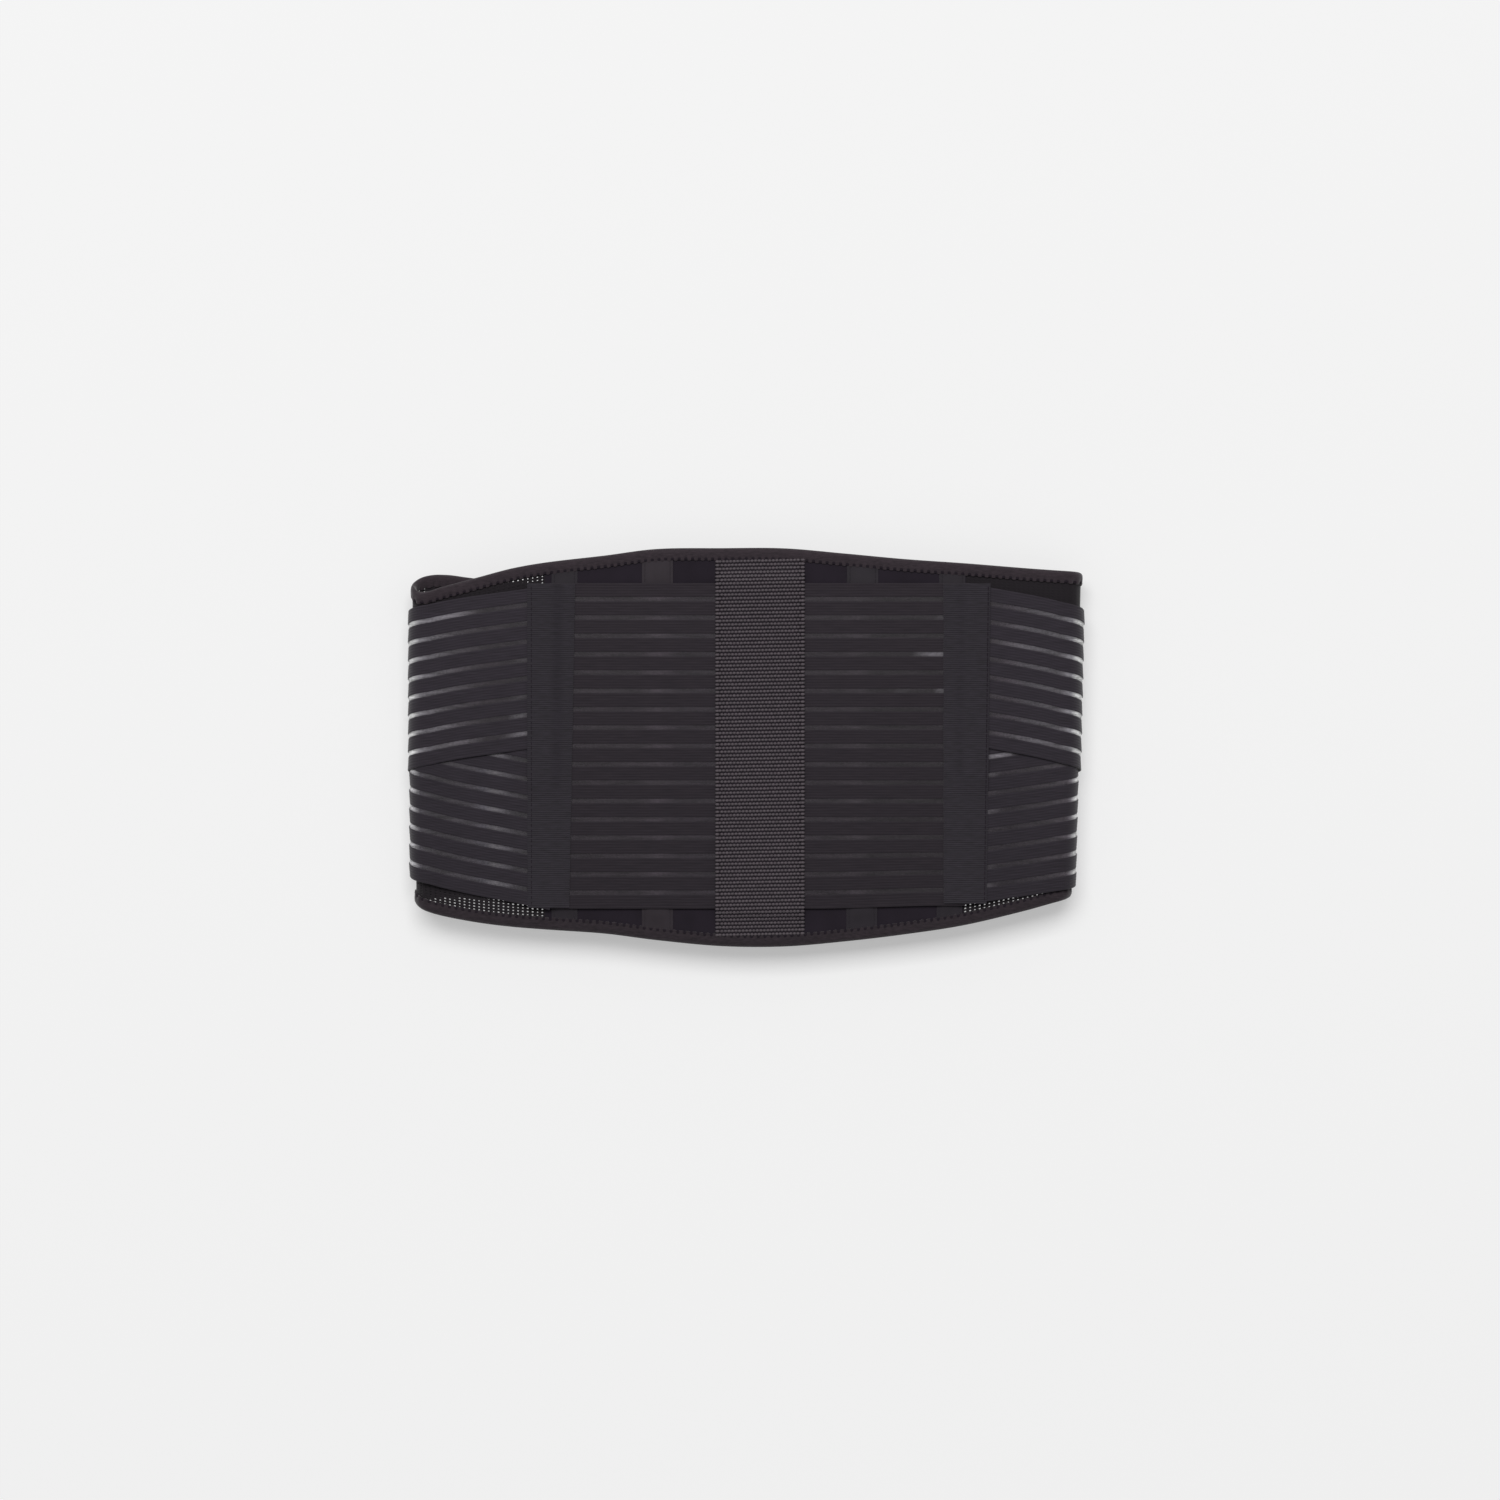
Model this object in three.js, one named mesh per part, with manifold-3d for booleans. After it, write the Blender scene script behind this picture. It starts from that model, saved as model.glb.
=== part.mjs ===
// Abdominal support belt, lying flat as a closed and flattened loop with its back panel up.
// Millimetres, +Z up, +Y towards the belt's upper edge, origin on the floor under its middle.
//
// Every piece is cut flat and then folded, as the real belt is. A flat point has three numbers:
// along runs round the belt, with 0 at the middle of the back and positive to the right,
// across runs towards the upper edge, and height is the distance out from the loop's inner face.

import * as THREE from "three";
import { mergeVertices } from "three/addons/utils/BufferGeometryUtils.js";
import Module from "manifold-3d";

const wasm = await Module();
wasm.setup();

// The flattened loop
const HOLLOW = 14; // clear height inside the loop at its folds
const SAG = 1.5; // how far the back sinks between the folds
const LEFT_TURN = -183.4; // x of the left fold's centre
const RIGHT_TURN = 181.9; // x of the right fold's centre
const RIGHT_LEAN = 0.02; // how far the right fold leans out, for each mm towards the upper edge
const FOLD_STEPS = 8; // facets round a fold
const FLAT_STEP = 26; // longest facet along the flat stretches

// Thicknesses, from the loop's inner face outwards
const GAP = 0.3; // clearance between neighbouring layers
const WALL = 3; // padded and netted body panels
const TAPE = 0.7; // binding, stay channels and cover tapes
const ELASTIC = 1.2;
const WEBBING = 1.5;
const TAB = 1.2;

// Where each layer starts
const TRIM_AT = WALL + GAP; // binding and stay channels, on the body
const ELASTIC_AT = TRIM_AT + TAPE + GAP; // back elastic and lower straps
const UPPER_AT = ELASTIC_AT + ELASTIC + GAP; // upper straps, webbing and cover tapes
const TAB_AT = UPPER_AT + ELASTIC + GAP; // tabs over the ends of the straps
const FLOOR_AT = TAB_AT + TAB; // the tabs' faces lie on the floor

// Body outline: the outer edge of the binding, from the left flap's end to the right one's
const LEFT_END = -429;
const RIGHT_END = 416;
const END_CORNER = 18; // corner radius of the flaps' ends
const CORNER_STEPS = 5;
const OUTLINE = [
  { along: LEFT_END, upper: 90, lower: -88 },
  { along: -330, upper: 91, lower: -88 },
  { along: -270, upper: 96, lower: -90 },
  { along: -248, upper: 97, lower: -89.6 },
  { along: -230, upper: 99.2, lower: -88.6 },
  { along: -218, upper: 100.7, lower: -88.4 },
  { along: -207, upper: 100, lower: -89 },
  { along: -195, upper: 93.6, lower: -91.5 },
  { along: -188, upper: 90, lower: -94.8 },
  { along: -177, upper: 92.8, lower: -98.2 },
  { along: -156, upper: 98.4, lower: -102.2 },
  { along: -136, upper: 103.7, lower: -104.7 },
  { along: -116, upper: 107.2, lower: -106.3 },
  { along: -82, upper: 111.2, lower: -108.7 },
  { along: -52, upper: 115, lower: -112.5 },
  { along: -14, upper: 115.5, lower: -116 },
  { along: 22, upper: 115.4, lower: -116.2 },
  { along: 57, upper: 112.4, lower: -113.3 },
  { along: 92, upper: 109.1, lower: -109.2 },
  { along: 127, upper: 106.6, lower: -103.9 },
  { along: 162, upper: 103.7, lower: -95.8 },
  { along: 187.3, upper: 101.9, lower: -89 },
  { along: 207.3, upper: 100.6, lower: -85 },
  { along: 240, upper: 101, lower: -86.8 },
  { along: 275, upper: 99.5, lower: -88.5 },
  { along: 330, upper: 91, lower: -88 },
  { along: RIGHT_END, upper: 90, lower: -88 },
];

// Seams between the body panels
const LEFT_SEAM = -117; // back panel to left net
const RIGHT_SEAM = 127; // back panel to right net
const NET_UNDER = 34; // how far each net runs on underneath, past its fold

// Overlap of the flaps: the left flap lies inside the right one
const LIFT = 2 * (TAPE + GAP) + WALL + GAP;
const LIFT_FROM = -62;
const LIFT_TO = -33;

// Edge binding
const BINDING_WIDTH = 7.5; // of the leg that shows
const CROWN = 1.2; // radius of its folded edge
const BODY_INSET = 1.5; // from the binding's outer edge to the panels' cut edge

// Elastic: bars with see-through windows between them
const BAR = 7.95;
const WINDOW = 2.7;
const PITCH = BAR + WINDOW;
const HEM = 4; // sewn end of each band
const HEM_PROUD = 0.05; // the hem is this much thicker on either face
const BACK_BARS = 18;
const STRAP_BARS = 9;
const BACK_ELASTIC_TOP = 95;
const LEFT_JOIN = -114; // back elastic meets the left straps
const RIGHT_JOIN = 128; // back elastic meets the right straps
// Each strap starts at its upper edge's place, falls by so much for each mm, and bows on its way to the fold
const STRAPS = [
  { name: "upper_strap_left", side: -1, top: 93.8, fall: 0.18, bow: 1.75, height: UPPER_AT },
  { name: "lower_strap_left", side: -1, top: -1.6, fall: -0.235, bow: -1.85, height: ELASTIC_AT },
  { name: "upper_strap_right", side: 1, top: 94.9, fall: 0.235, bow: 1.8, height: UPPER_AT },
  { name: "lower_strap_right", side: 1, top: 1.5, fall: -0.16, bow: -0.8, height: ELASTIC_AT },
];

// Centre webbing
const WEBBING_MIDDLE = 8.1;
const WEBBING_WIDTH = 50;
const WEBBING_RAMP = 8; // length over which its ends come down to the panel

// Stay channels
const CHANNELS = [
  { name: "stay_channel_left_outer", middle: -105.5, width: 13.5 },
  { name: "stay_channel_left_inner", middle: -51.5, width: 16 },
  { name: "stay_channel_right_inner", middle: 67.5, width: 16 },
  { name: "stay_channel_right_outer", middle: 119, width: 13.5 },
];

// Cover tapes: they lie on the back elastic and step up over the end of the upper strap
const COVER_TOP = 95.5;
const COVER_BOTTOM = -93.5;
const COVER_STEP = 9; // length of the step along the belt
const COVER_DROP = 16; // length of the step across the belt
const COVER_DROP_FROM = -16; // below the upper strap's lower edge
const COVERS = [
  { name: "cover_tape_left", outer: -126.8, innerTop: -99.2, innerBottom: -102.6, join: LEFT_JOIN },
  { name: "cover_tape_right", outer: 140.6, innerTop: 113.8, innerBottom: 115.4, join: RIGHT_JOIN },
];

// Hook tabs underneath, by the distance of each place from the belt's middle
const TAB_OUTER = 122; // where the tab starts, over the straps
const STRAP_END = 90; // where the straps end
const TAB_INNER = 64; // the tab's free end
const TAB_CORNER = 9;
const TABS = [
  { name: "strap_tab_left", side: -1, upper: 65, lower: -57 },
  { name: "strap_tab_right", side: 1, upper: 56, lower: -66 },
];

const fabric = (color, roughness) => new THREE.MeshStandardMaterial({ color, roughness, metalness: 0 });
const FOAM_FABRIC = fabric(0x26222a, 0.9);
const CHANNEL_TAPE = fabric(0x37333a, 0.9);
const NET = fabric(0x26222a, 0.8);
const LOOP_PILE = fabric(0x242126, 0.95);
const BINDING_TAPE = fabric(0x302b2f, 0.85);
const ELASTIC_WEB = fabric(0x2f2a2e, 0.8);
const COARSE_WEB = fabric(0x3a3539, 0.75);
const RIBBED_TAPE = fabric(0x2f2d31, 0.8);

const HALF_TURN = Math.PI * (HOLLOW / 2 + WALL / 2); // length of body wall round one fold
const { lerp, smoothstep } = THREE.MathUtils;

// Folds a flat point round the loop and returns its place in space.
function fold(along, across, height) {
  const side = along < 0 ? -1 : 1;
  const turn = side < 0 ? LEFT_TURN : RIGHT_TURN;
  const past = Math.abs(along) - Math.abs(turn);
  const radius = HOLLOW / 2;
  const middle = FLOOR_AT + radius;
  let x = along;
  let z = middle + radius + height - SAG * (1 - (along / turn) ** 2) ** 2;
  if (past > HALF_TURN) {
    x = turn - side * (past - HALF_TURN);
    const lift = side < 0 ? LIFT * smoothstep(x, LIFT_FROM, LIFT_TO) : 0;
    z = FLOOR_AT - height + lift;
  } else if (past > 0) {
    const angle = (Math.PI * past) / HALF_TURN;
    x = turn + side * (radius + height) * Math.sin(angle);
    z = middle + (radius + height) * Math.cos(angle);
  }
  const lean = RIGHT_LEAN * across * (Math.max(0, x) / RIGHT_TURN) ** 2;
  return new THREE.Vector3(x + lean, across, z);
}

// The flat place of a point that lies underneath, this far from the belt's middle.
function underneath(side, distance) {
  const turn = Math.abs(side < 0 ? LEFT_TURN : RIGHT_TURN);
  return side * (turn + HALF_TURN + turn - distance);
}

// Outline curves, and the outline's upper and lower edge with the flaps' round corners.
const alongs = OUTLINE.map((row) => row.along);
const upperCurve = new THREE.CubicInterpolant(alongs, OUTLINE.map((row) => row.upper), 1);
const lowerCurve = new THREE.CubicInterpolant(alongs, OUTLINE.map((row) => row.lower), 1);
const upperEdge = (along) => upperCurve.evaluate(along)[0];
const lowerEdge = (along) => lowerCurve.evaluate(along)[0];

function cornerInset(along, radius, leftEnd, rightEnd) {
  const into = Math.max(0, leftEnd + radius - along, along - (rightEnd - radius));
  return radius - Math.sqrt(Math.max(0, radius ** 2 - into ** 2));
}

// Places along the belt where every layer has its facets, so that layers stay parallel round a fold.
const NEAREST_STATIONS = 3; // stations closer than this are left out
const bandStations = [];
for (const turn of [LEFT_TURN, RIGHT_TURN]) {
  for (let step = 0; step <= FOLD_STEPS; step++) {
    bandStations.push(turn + (Math.sign(turn) * HALF_TURN * step) / FOLD_STEPS);
  }
}
for (let place = LEFT_TURN + FLAT_STEP; place < RIGHT_TURN - NEAREST_STATIONS; place += FLAT_STEP) {
  bandStations.push(place);
}
for (const side of [-1, 1]) {
  for (let distance = 180 - FLAT_STEP; distance > 80; distance -= FLAT_STEP) {
    bandStations.push(underneath(side, distance));
  }
}
const liftStations = [0, 0.25, 0.5, 0.75, 1].map((share) => underneath(-1, -lerp(LIFT_FROM, LIFT_TO, share)));
const bodyStations = [...bandStations, ...alongs, ...liftStations];

function stationsBetween(from, to, shared, extra = []) {
  const [low, high] = [Math.min(from, to), Math.max(from, to)];
  const between = [...shared, ...extra].filter((place) => place > low && place < high);
  const kept = [low];
  for (const place of between.sort((a, b) => a - b)) {
    const isClear = place - kept.at(-1) > NEAREST_STATIONS && high - place > NEAREST_STATIONS;
    if (isClear || extra.includes(place)) kept.push(place);
  }
  return [...kept, high];
}

// A closed strip: a box grid with a row at each station, placed by place(station, share across, face).
function foldedStrip(stations, rows, place) {
  const columns = stations.length - 1;
  const geometry = new THREE.BoxGeometry(1, 1, 1, columns, rows, 1);
  geometry.deleteAttribute("normal");
  geometry.deleteAttribute("uv");
  const position = geometry.attributes.position;
  for (let i = 0; i < position.count; i++) {
    const station = stations[Math.round((position.getX(i) + 0.5) * columns)];
    const { along, across, height } = place(station, position.getY(i) + 0.5, position.getZ(i) + 0.5);
    position.setXYZ(i, ...fold(along, across, height));
  }
  return mergeVertices(geometry, 1e-4);
}

// Joins closed strips that overlap into one solid.
function joined(strips) {
  const solids = strips.map((strip) => {
    const vertProperties = new Float32Array(strip.attributes.position.array);
    const triVerts = new Uint32Array(strip.index.array);
    return new wasm.Manifold(new wasm.Mesh({ numProp: 3, vertProperties, triVerts }));
  });
  const made = solids.reduce((whole, solid) => whole.add(solid)).getMesh();
  const geometry = new THREE.BufferGeometry();
  geometry.setAttribute("position", new THREE.BufferAttribute(made.vertProperties, 3));
  geometry.setIndex(new THREE.BufferAttribute(made.triVerts, 1));
  return geometry;
}

const belt = new THREE.Group();

function addPiece(name, geometry, material) {
  geometry.computeVertexNormals();
  const mesh = new THREE.Mesh(geometry, material);
  mesh.name = name;
  belt.add(mesh);
}

// Body panels, butted at their seams
function bodyPanel(from, to) {
  const leftCut = LEFT_END + BODY_INSET;
  const rightCut = RIGHT_END - BODY_INSET;
  const radius = END_CORNER - BODY_INSET;
  const corners = [];
  for (let step = 1; step <= CORNER_STEPS; step++) {
    const reach = radius * (1 - Math.cos((Math.PI / 2) * (step / (CORNER_STEPS + 1))));
    corners.push(leftCut + reach, rightCut - reach);
  }
  return foldedStrip(stationsBetween(from, to, bodyStations, corners), 1, (along, share, face) => {
    const inset = BODY_INSET + cornerInset(along, radius, leftCut, rightCut);
    const across = lerp(lowerEdge(along) + inset, upperEdge(along) - inset, share);
    return { along, across, height: face * WALL };
  });
}

const leftNetEnd = underneath(-1, Math.abs(LEFT_TURN) - NET_UNDER);
const rightNetEnd = underneath(1, RIGHT_TURN - NET_UNDER);
const half = GAP / 2;
addPiece("back_panel", bodyPanel(LEFT_SEAM + half, RIGHT_SEAM - half), FOAM_FABRIC);
addPiece("side_mesh_left", bodyPanel(leftNetEnd + half, LEFT_SEAM - half), NET);
addPiece("side_mesh_right", bodyPanel(RIGHT_SEAM + half, rightNetEnd - half), NET);
addPiece("front_flap_left", bodyPanel(LEFT_END + BODY_INSET, leftNetEnd - half), LOOP_PILE);
addPiece("front_flap_right", bodyPanel(rightNetEnd + half, RIGHT_END - BODY_INSET), LOOP_PILE);

// Stay channels: flat tapes sewn on the back panel, from binding to binding
for (const { name, middle, width } of CHANNELS) {
  const stations = [middle - width / 2, middle + width / 2];
  const channel = foldedStrip(stations, 1, (along, share, face) => {
    const clear = BINDING_WIDTH + GAP;
    const across = lerp(lowerEdge(along) + clear, upperEdge(along) - clear, share);
    return { along, across, height: TRIM_AT + face * TAPE };
  });
  addPiece(name, channel, CHANNEL_TAPE);
}

// Edge binding: one tape folded over the whole edge, with its ends butted at the left flap's end
function outlinePoints() {
  const points = [];
  const add = (along, across, outAlong, outAcross) => points.push({ along, across, outAlong, outAcross });
  const addCorner = (centreAlong, centreAcross, startAngle) => {
    for (let step = 0; step <= CORNER_STEPS; step++) {
      const angle = startAngle - (Math.PI / 2) * (step / CORNER_STEPS);
      const [outAlong, outAcross] = [Math.cos(angle), Math.sin(angle)];
      add(centreAlong + END_CORNER * outAlong, centreAcross + END_CORNER * outAcross, outAlong, outAcross);
    }
  };
  const addEdge = (places, edge, facing) => {
    for (const along of places) add(along, edge(along), 0, facing);
  };
  const seams = [leftNetEnd, LEFT_SEAM, RIGHT_SEAM, rightNetEnd];
  const ends = [LEFT_END + END_CORNER, RIGHT_END - END_CORNER];
  const places = stationsBetween(...ends, bodyStations, seams).slice(1, -1);
  const buttAcross = 0;
  add(LEFT_END, buttAcross + half, -1, 0);
  addCorner(LEFT_END + END_CORNER, upperEdge(LEFT_END) - END_CORNER, Math.PI);
  addEdge(places, upperEdge, 1);
  addCorner(RIGHT_END - END_CORNER, upperEdge(RIGHT_END) - END_CORNER, Math.PI / 2);
  addCorner(RIGHT_END - END_CORNER, lowerEdge(RIGHT_END) + END_CORNER, 0);
  addEdge(places.toReversed(), lowerEdge, -1);
  addCorner(LEFT_END + END_CORNER, lowerEdge(LEFT_END) + END_CORNER, -Math.PI / 2);
  add(LEFT_END, buttAcross - half, -1, 0);
  return points;
}

// The tape's section: distance in from its folded edge and height, on its inside and outside face
const under = WALL + GAP;
const SECTION = [
  { inFrom: BINDING_WIDTH, inside: under, outside: under + TAPE, edgeIn: 0 },
  { inFrom: CROWN, inside: under, outside: under + TAPE, edgeIn: 0 },
  { inFrom: 0, inside: under - CROWN, outside: under - CROWN + TAPE, edgeIn: TAPE },
  { inFrom: 0, inside: CROWN - GAP, outside: CROWN - GAP - TAPE, edgeIn: TAPE },
  { inFrom: CROWN, inside: -GAP, outside: -GAP - TAPE, edgeIn: 0 },
  { inFrom: BINDING_WIDTH, inside: -GAP, outside: -GAP - TAPE, edgeIn: 0 },
];
const outline = outlinePoints();
const binding = foldedStrip([...outline.keys()], SECTION.length - 1, (index, share, face) => {
  const { along, across, outAlong, outAcross } = outline[index];
  const corner = SECTION[Math.round(share * (SECTION.length - 1))];
  const inFrom = corner.inFrom + (1 - face) * corner.edgeIn;
  return {
    along: along - outAlong * inFrom,
    across: across - outAcross * inFrom,
    height: lerp(corner.inside, corner.outside, face),
  };
});
addPiece("edge_binding", binding, BINDING_TAPE);

// Elastic bands: bars side by side, held together by a hem at each end
const BOW_SHAPE = 27 / 4; // makes the greatest value of share * share * (1 - share) one

function elasticBand({ from, to, bars, top, fall, bow, height }) {
  const width = bars * PITCH - WINDOW;
  const inward = Math.sign(to - from);
  const toFold = Math.abs(from < 0 ? LEFT_TURN : RIGHT_TURN) + HALF_TURN / 2 - Math.abs(from);
  const drop = (along) => {
    const out = Math.abs(along - from);
    const share = Math.min(1, out / toFold);
    return fall * out - bow * BOW_SHAPE * share * share * (1 - share);
  };
  const strip = (start, end, offset, across, proud) =>
    foldedStrip(stationsBetween(start, end, bandStations), 1, (along, share, face) => ({
      along,
      across: top - offset - across * (1 - share) - drop(along),
      height: height - proud + face * (ELASTIC + 2 * proud),
    }));
  const strips = [
    strip(from, from + inward * HEM, 0, width, HEM_PROUD),
    strip(to - inward * HEM, to, 0, width, HEM_PROUD),
  ];
  for (let bar = 0; bar < bars; bar++) {
    strips.push(strip(from + inward, to - inward, bar * PITCH, BAR, 0));
  }
  return joined(strips);
}

const backBand = { from: LEFT_JOIN + half, to: RIGHT_JOIN - half, bars: BACK_BARS };
const backLie = { top: BACK_ELASTIC_TOP, fall: 0, bow: 0, height: ELASTIC_AT };
const backElastic = elasticBand({ ...backBand, ...backLie });
addPiece("back_elastic", backElastic, ELASTIC_WEB);
for (const { name, side, ...lie } of STRAPS) {
  const from = side < 0 ? LEFT_JOIN - half : RIGHT_JOIN + half;
  const to = underneath(side, STRAP_END);
  addPiece(name, elasticBand({ from, to, bars: STRAP_BARS, ...lie }), ELASTIC_WEB);
}

// Centre webbing: over the back elastic, with its ends brought down to the panel at the binding
const elasticLower = BACK_ELASTIC_TOP - BACK_BARS * PITCH + WINDOW;
const webbingRows = [
  { across: (along) => lowerEdge(along) + BINDING_WIDTH + GAP, height: TRIM_AT },
  { across: () => elasticLower - WEBBING_RAMP, height: TRIM_AT },
  { across: () => elasticLower - GAP, height: UPPER_AT },
  { across: () => BACK_ELASTIC_TOP + GAP, height: UPPER_AT },
  { across: () => BACK_ELASTIC_TOP + WEBBING_RAMP, height: TRIM_AT },
  { across: (along) => upperEdge(along) - BINDING_WIDTH - GAP, height: TRIM_AT },
];
const webbingEdges = [WEBBING_MIDDLE - WEBBING_WIDTH / 2, WEBBING_MIDDLE + WEBBING_WIDTH / 2];
const webbingStations = stationsBetween(...webbingEdges, bodyStations);
const webbing = foldedStrip(webbingStations, webbingRows.length - 1, (along, share, face) => {
  const row = webbingRows[Math.round(share * (webbingRows.length - 1))];
  return { along, across: row.across(along), height: row.height + face * WEBBING };
});
addPiece("centre_webbing", webbing, COARSE_WEB);

// Cover tapes
const COVER_COLUMNS = [0, 0.2, 0.4, 0.6, 0.8, 1];
const COVER_ROWS = 12;
for (const { name, outer, innerTop, innerBottom, join } of COVERS) {
  const side = Math.sign(outer);
  const tape = foldedStrip(COVER_COLUMNS, COVER_ROWS, (column, share, face) => {
    const across = lerp(COVER_BOTTOM, COVER_TOP, share);
    const inner = lerp(innerBottom, innerTop, share);
    const along = side < 0 ? lerp(outer, inner, column) : lerp(inner, outer, column);
    const pastJoin = side * (along - join) + COVER_STEP;
    const overStrap = smoothstep(pastJoin, 0, COVER_STEP - GAP);
    const overUpper = smoothstep(across, COVER_DROP_FROM - COVER_DROP, COVER_DROP_FROM);
    const step = (ELASTIC + GAP) * overStrap * overUpper;
    return { along, across, height: UPPER_AT + step + face * TAPE };
  });
  addPiece(name, tape, RIBBED_TAPE);
}

// Hook tabs: a plate over the straps' ends, and past them a pad that reaches the flap
for (const { name, side, upper, lower } of TABS) {
  const padStart = STRAP_END - GAP;
  const rounds = [];
  for (let step = 1; step <= CORNER_STEPS; step++) {
    const reach = TAB_CORNER * (1 - Math.cos((Math.PI / 2) * (step / (CORNER_STEPS + 1))));
    rounds.push(TAB_INNER + reach);
  }
  const plateAndPad = [TAB_OUTER, padStart + GAP / 2, padStart, TAB_INNER + TAB_CORNER];
  const distances = [...plateAndPad, ...rounds.toReversed(), TAB_INNER];
  const stations = distances.map((distance) => underneath(side, distance));
  if (side < 0) stations.reverse();
  const tab = foldedStrip(stations, 1, (along, share, face) => {
    const isPad = Math.abs(along) > Math.abs(underneath(side, padStart)) - GAP / 4;
    const freeEnd = underneath(side, TAB_INNER);
    const inset = cornerInset(Math.abs(along), TAB_CORNER, -Infinity, Math.abs(freeEnd));
    const start = isPad ? TRIM_AT : TAB_AT;
    return { along, across: lerp(lower + inset, upper - inset, share), height: lerp(start, FLOOR_AT, face) };
  });
  addPiece(name, tab, LOOP_PILE);
}

export default belt;
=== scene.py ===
import math
from functools import lru_cache

import bmesh
import bpy
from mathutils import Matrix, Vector, noise


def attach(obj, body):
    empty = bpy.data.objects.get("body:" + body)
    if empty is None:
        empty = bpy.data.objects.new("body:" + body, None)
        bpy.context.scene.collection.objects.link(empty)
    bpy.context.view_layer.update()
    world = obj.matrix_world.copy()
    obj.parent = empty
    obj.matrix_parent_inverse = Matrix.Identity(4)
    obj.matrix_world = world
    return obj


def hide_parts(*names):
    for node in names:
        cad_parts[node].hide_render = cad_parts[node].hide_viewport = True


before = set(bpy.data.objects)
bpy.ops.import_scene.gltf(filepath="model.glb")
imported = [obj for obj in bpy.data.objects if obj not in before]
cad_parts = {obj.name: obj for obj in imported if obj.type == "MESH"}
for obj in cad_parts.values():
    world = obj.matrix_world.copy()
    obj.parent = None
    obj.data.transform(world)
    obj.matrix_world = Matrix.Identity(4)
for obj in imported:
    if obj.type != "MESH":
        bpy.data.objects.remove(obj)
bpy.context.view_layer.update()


# Back panel. The padded middle of the belt's back: thin foam faced on both sides with a dark jersey
# knit. It is cut flat with curved edges, pressed thin under the binding and sewn to the side nets.
# Sizes here and below are in mm, in the flat cut: along the belt, across it, and height from the loop.
MM = 0.001
LOOP_FLOOR = 8.5
LOOP_RADIUS = 7.0
BACK_SAG = 1.5
LEFT_TURN = -183.4
RIGHT_TURN = 181.9
RIGHT_LEAN = 0.02
HALF_TURN = math.pi * (LOOP_RADIUS + 1.5)
FOLD_FLARE = 2.2
FLARE_RAMP = (60.0, 78.0)
BODY_TOP = 3.8
FLAP_LIFT = 5.3
FLAP_RAMP = (-62.0, -33.0)
LEFT_END, RIGHT_END = -429.0, 416.0
BODY_EDGES = [  # along, upper edge, lower edge
    (LEFT_END, 90, -88),
    (-330, 91, -88),
    (-270, 96, -90),
    (-248, 97, -89.6),
    (-230, 99.2, -88.6),
    (-218, 100.7, -88.4),
    (-207, 100, -89),
    (-195, 93.6, -91.5),
    (-188, 90, -94.8),
    (-177, 92.8, -98.2),
    (-156, 98.4, -102.2),
    (-136, 103.7, -104.7),
    (-116, 107.2, -106.3),
    (-82, 111.2, -108.7),
    (-52, 115, -112.5),
    (-14, 115.5, -116),
    (22, 115.4, -116.2),
    (57, 112.4, -113.3),
    (92, 109.1, -109.2),
    (127, 106.6, -103.9),
    (162, 103.7, -95.8),
    (187.3, 101.9, -89),
    (207.3, 100.6, -85),
    (240, 101, -86.8),
    (275, 99.5, -88.5),
    (330, 91, -88),
    (RIGHT_END, 90, -88),
]
LEFT_SEAM, RIGHT_SEAM = -117.0, 127.0
PANEL_CUT = 1.5
PRESSED, PADDED = 1.0, 3.0
PADDING_RAMP = (6.5, 18.0)
SEAM_RAMP = (0.0, 9.0)
RIPPLE, RIPPLE_TURNS = 0.12, 0.11
PANEL_STEP, PANEL_ROWS = 3.5, 64
SHARP_ANGLE = math.radians(48)


def smooth(low, high, value):
    """0 below low, 1 above high, and an even rise between."""
    share = min(1.0, max(0.0, (value - low) / (high - low)))
    return share * share * (3 - 2 * share)


def mix(first, last, share):
    """What lies this share of the way from first to last."""
    return first + (last - first) * share


def fold(along, across, height):
    """Where a point of the flat cut lies, in metres, once the belt is a flattened loop."""
    side = -1 if along < 0 else 1
    turn = LEFT_TURN if side < 0 else RIGHT_TURN
    past = abs(along) - abs(turn)
    middle = LOOP_FLOOR + LOOP_RADIUS
    if past <= 0:
        x = along
        z = middle + LOOP_RADIUS + height - BACK_SAG * (1 - (along / turn) ** 2) ** 2
    elif past < HALF_TURN:
        angle = math.pi * past / HALF_TURN
        reach = LOOP_RADIUS + height
        flare = FOLD_FLARE * smooth(*FLARE_RAMP, across) if height < BODY_TOP else 0.0
        x = turn + side * (reach + flare) * math.sin(angle)
        z = middle + reach * math.cos(angle)
    else:
        x = turn - side * (past - HALF_TURN)
        z = LOOP_FLOOR - height
        if side < 0:
            z += FLAP_LIFT * smooth(*FLAP_RAMP, x)
    x += RIGHT_LEAN * across * (max(0.0, x) / RIGHT_TURN) ** 2
    return Vector((x, across, z)) * MM


def round_the_fold(along):
    """0 on the flat stretches and 1 at the outermost point of a fold."""
    past = abs(along) - abs(LEFT_TURN if along < 0 else RIGHT_TURN)
    return math.sin(math.pi * min(1.0, max(0.0, past / HALF_TURN)))


def underneath(side, distance):
    """The flat place of a point that lies underneath, this far from the belt's middle."""
    turn = abs(LEFT_TURN if side < 0 else RIGHT_TURN)
    return side * (turn + HALF_TURN + turn - distance)


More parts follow.
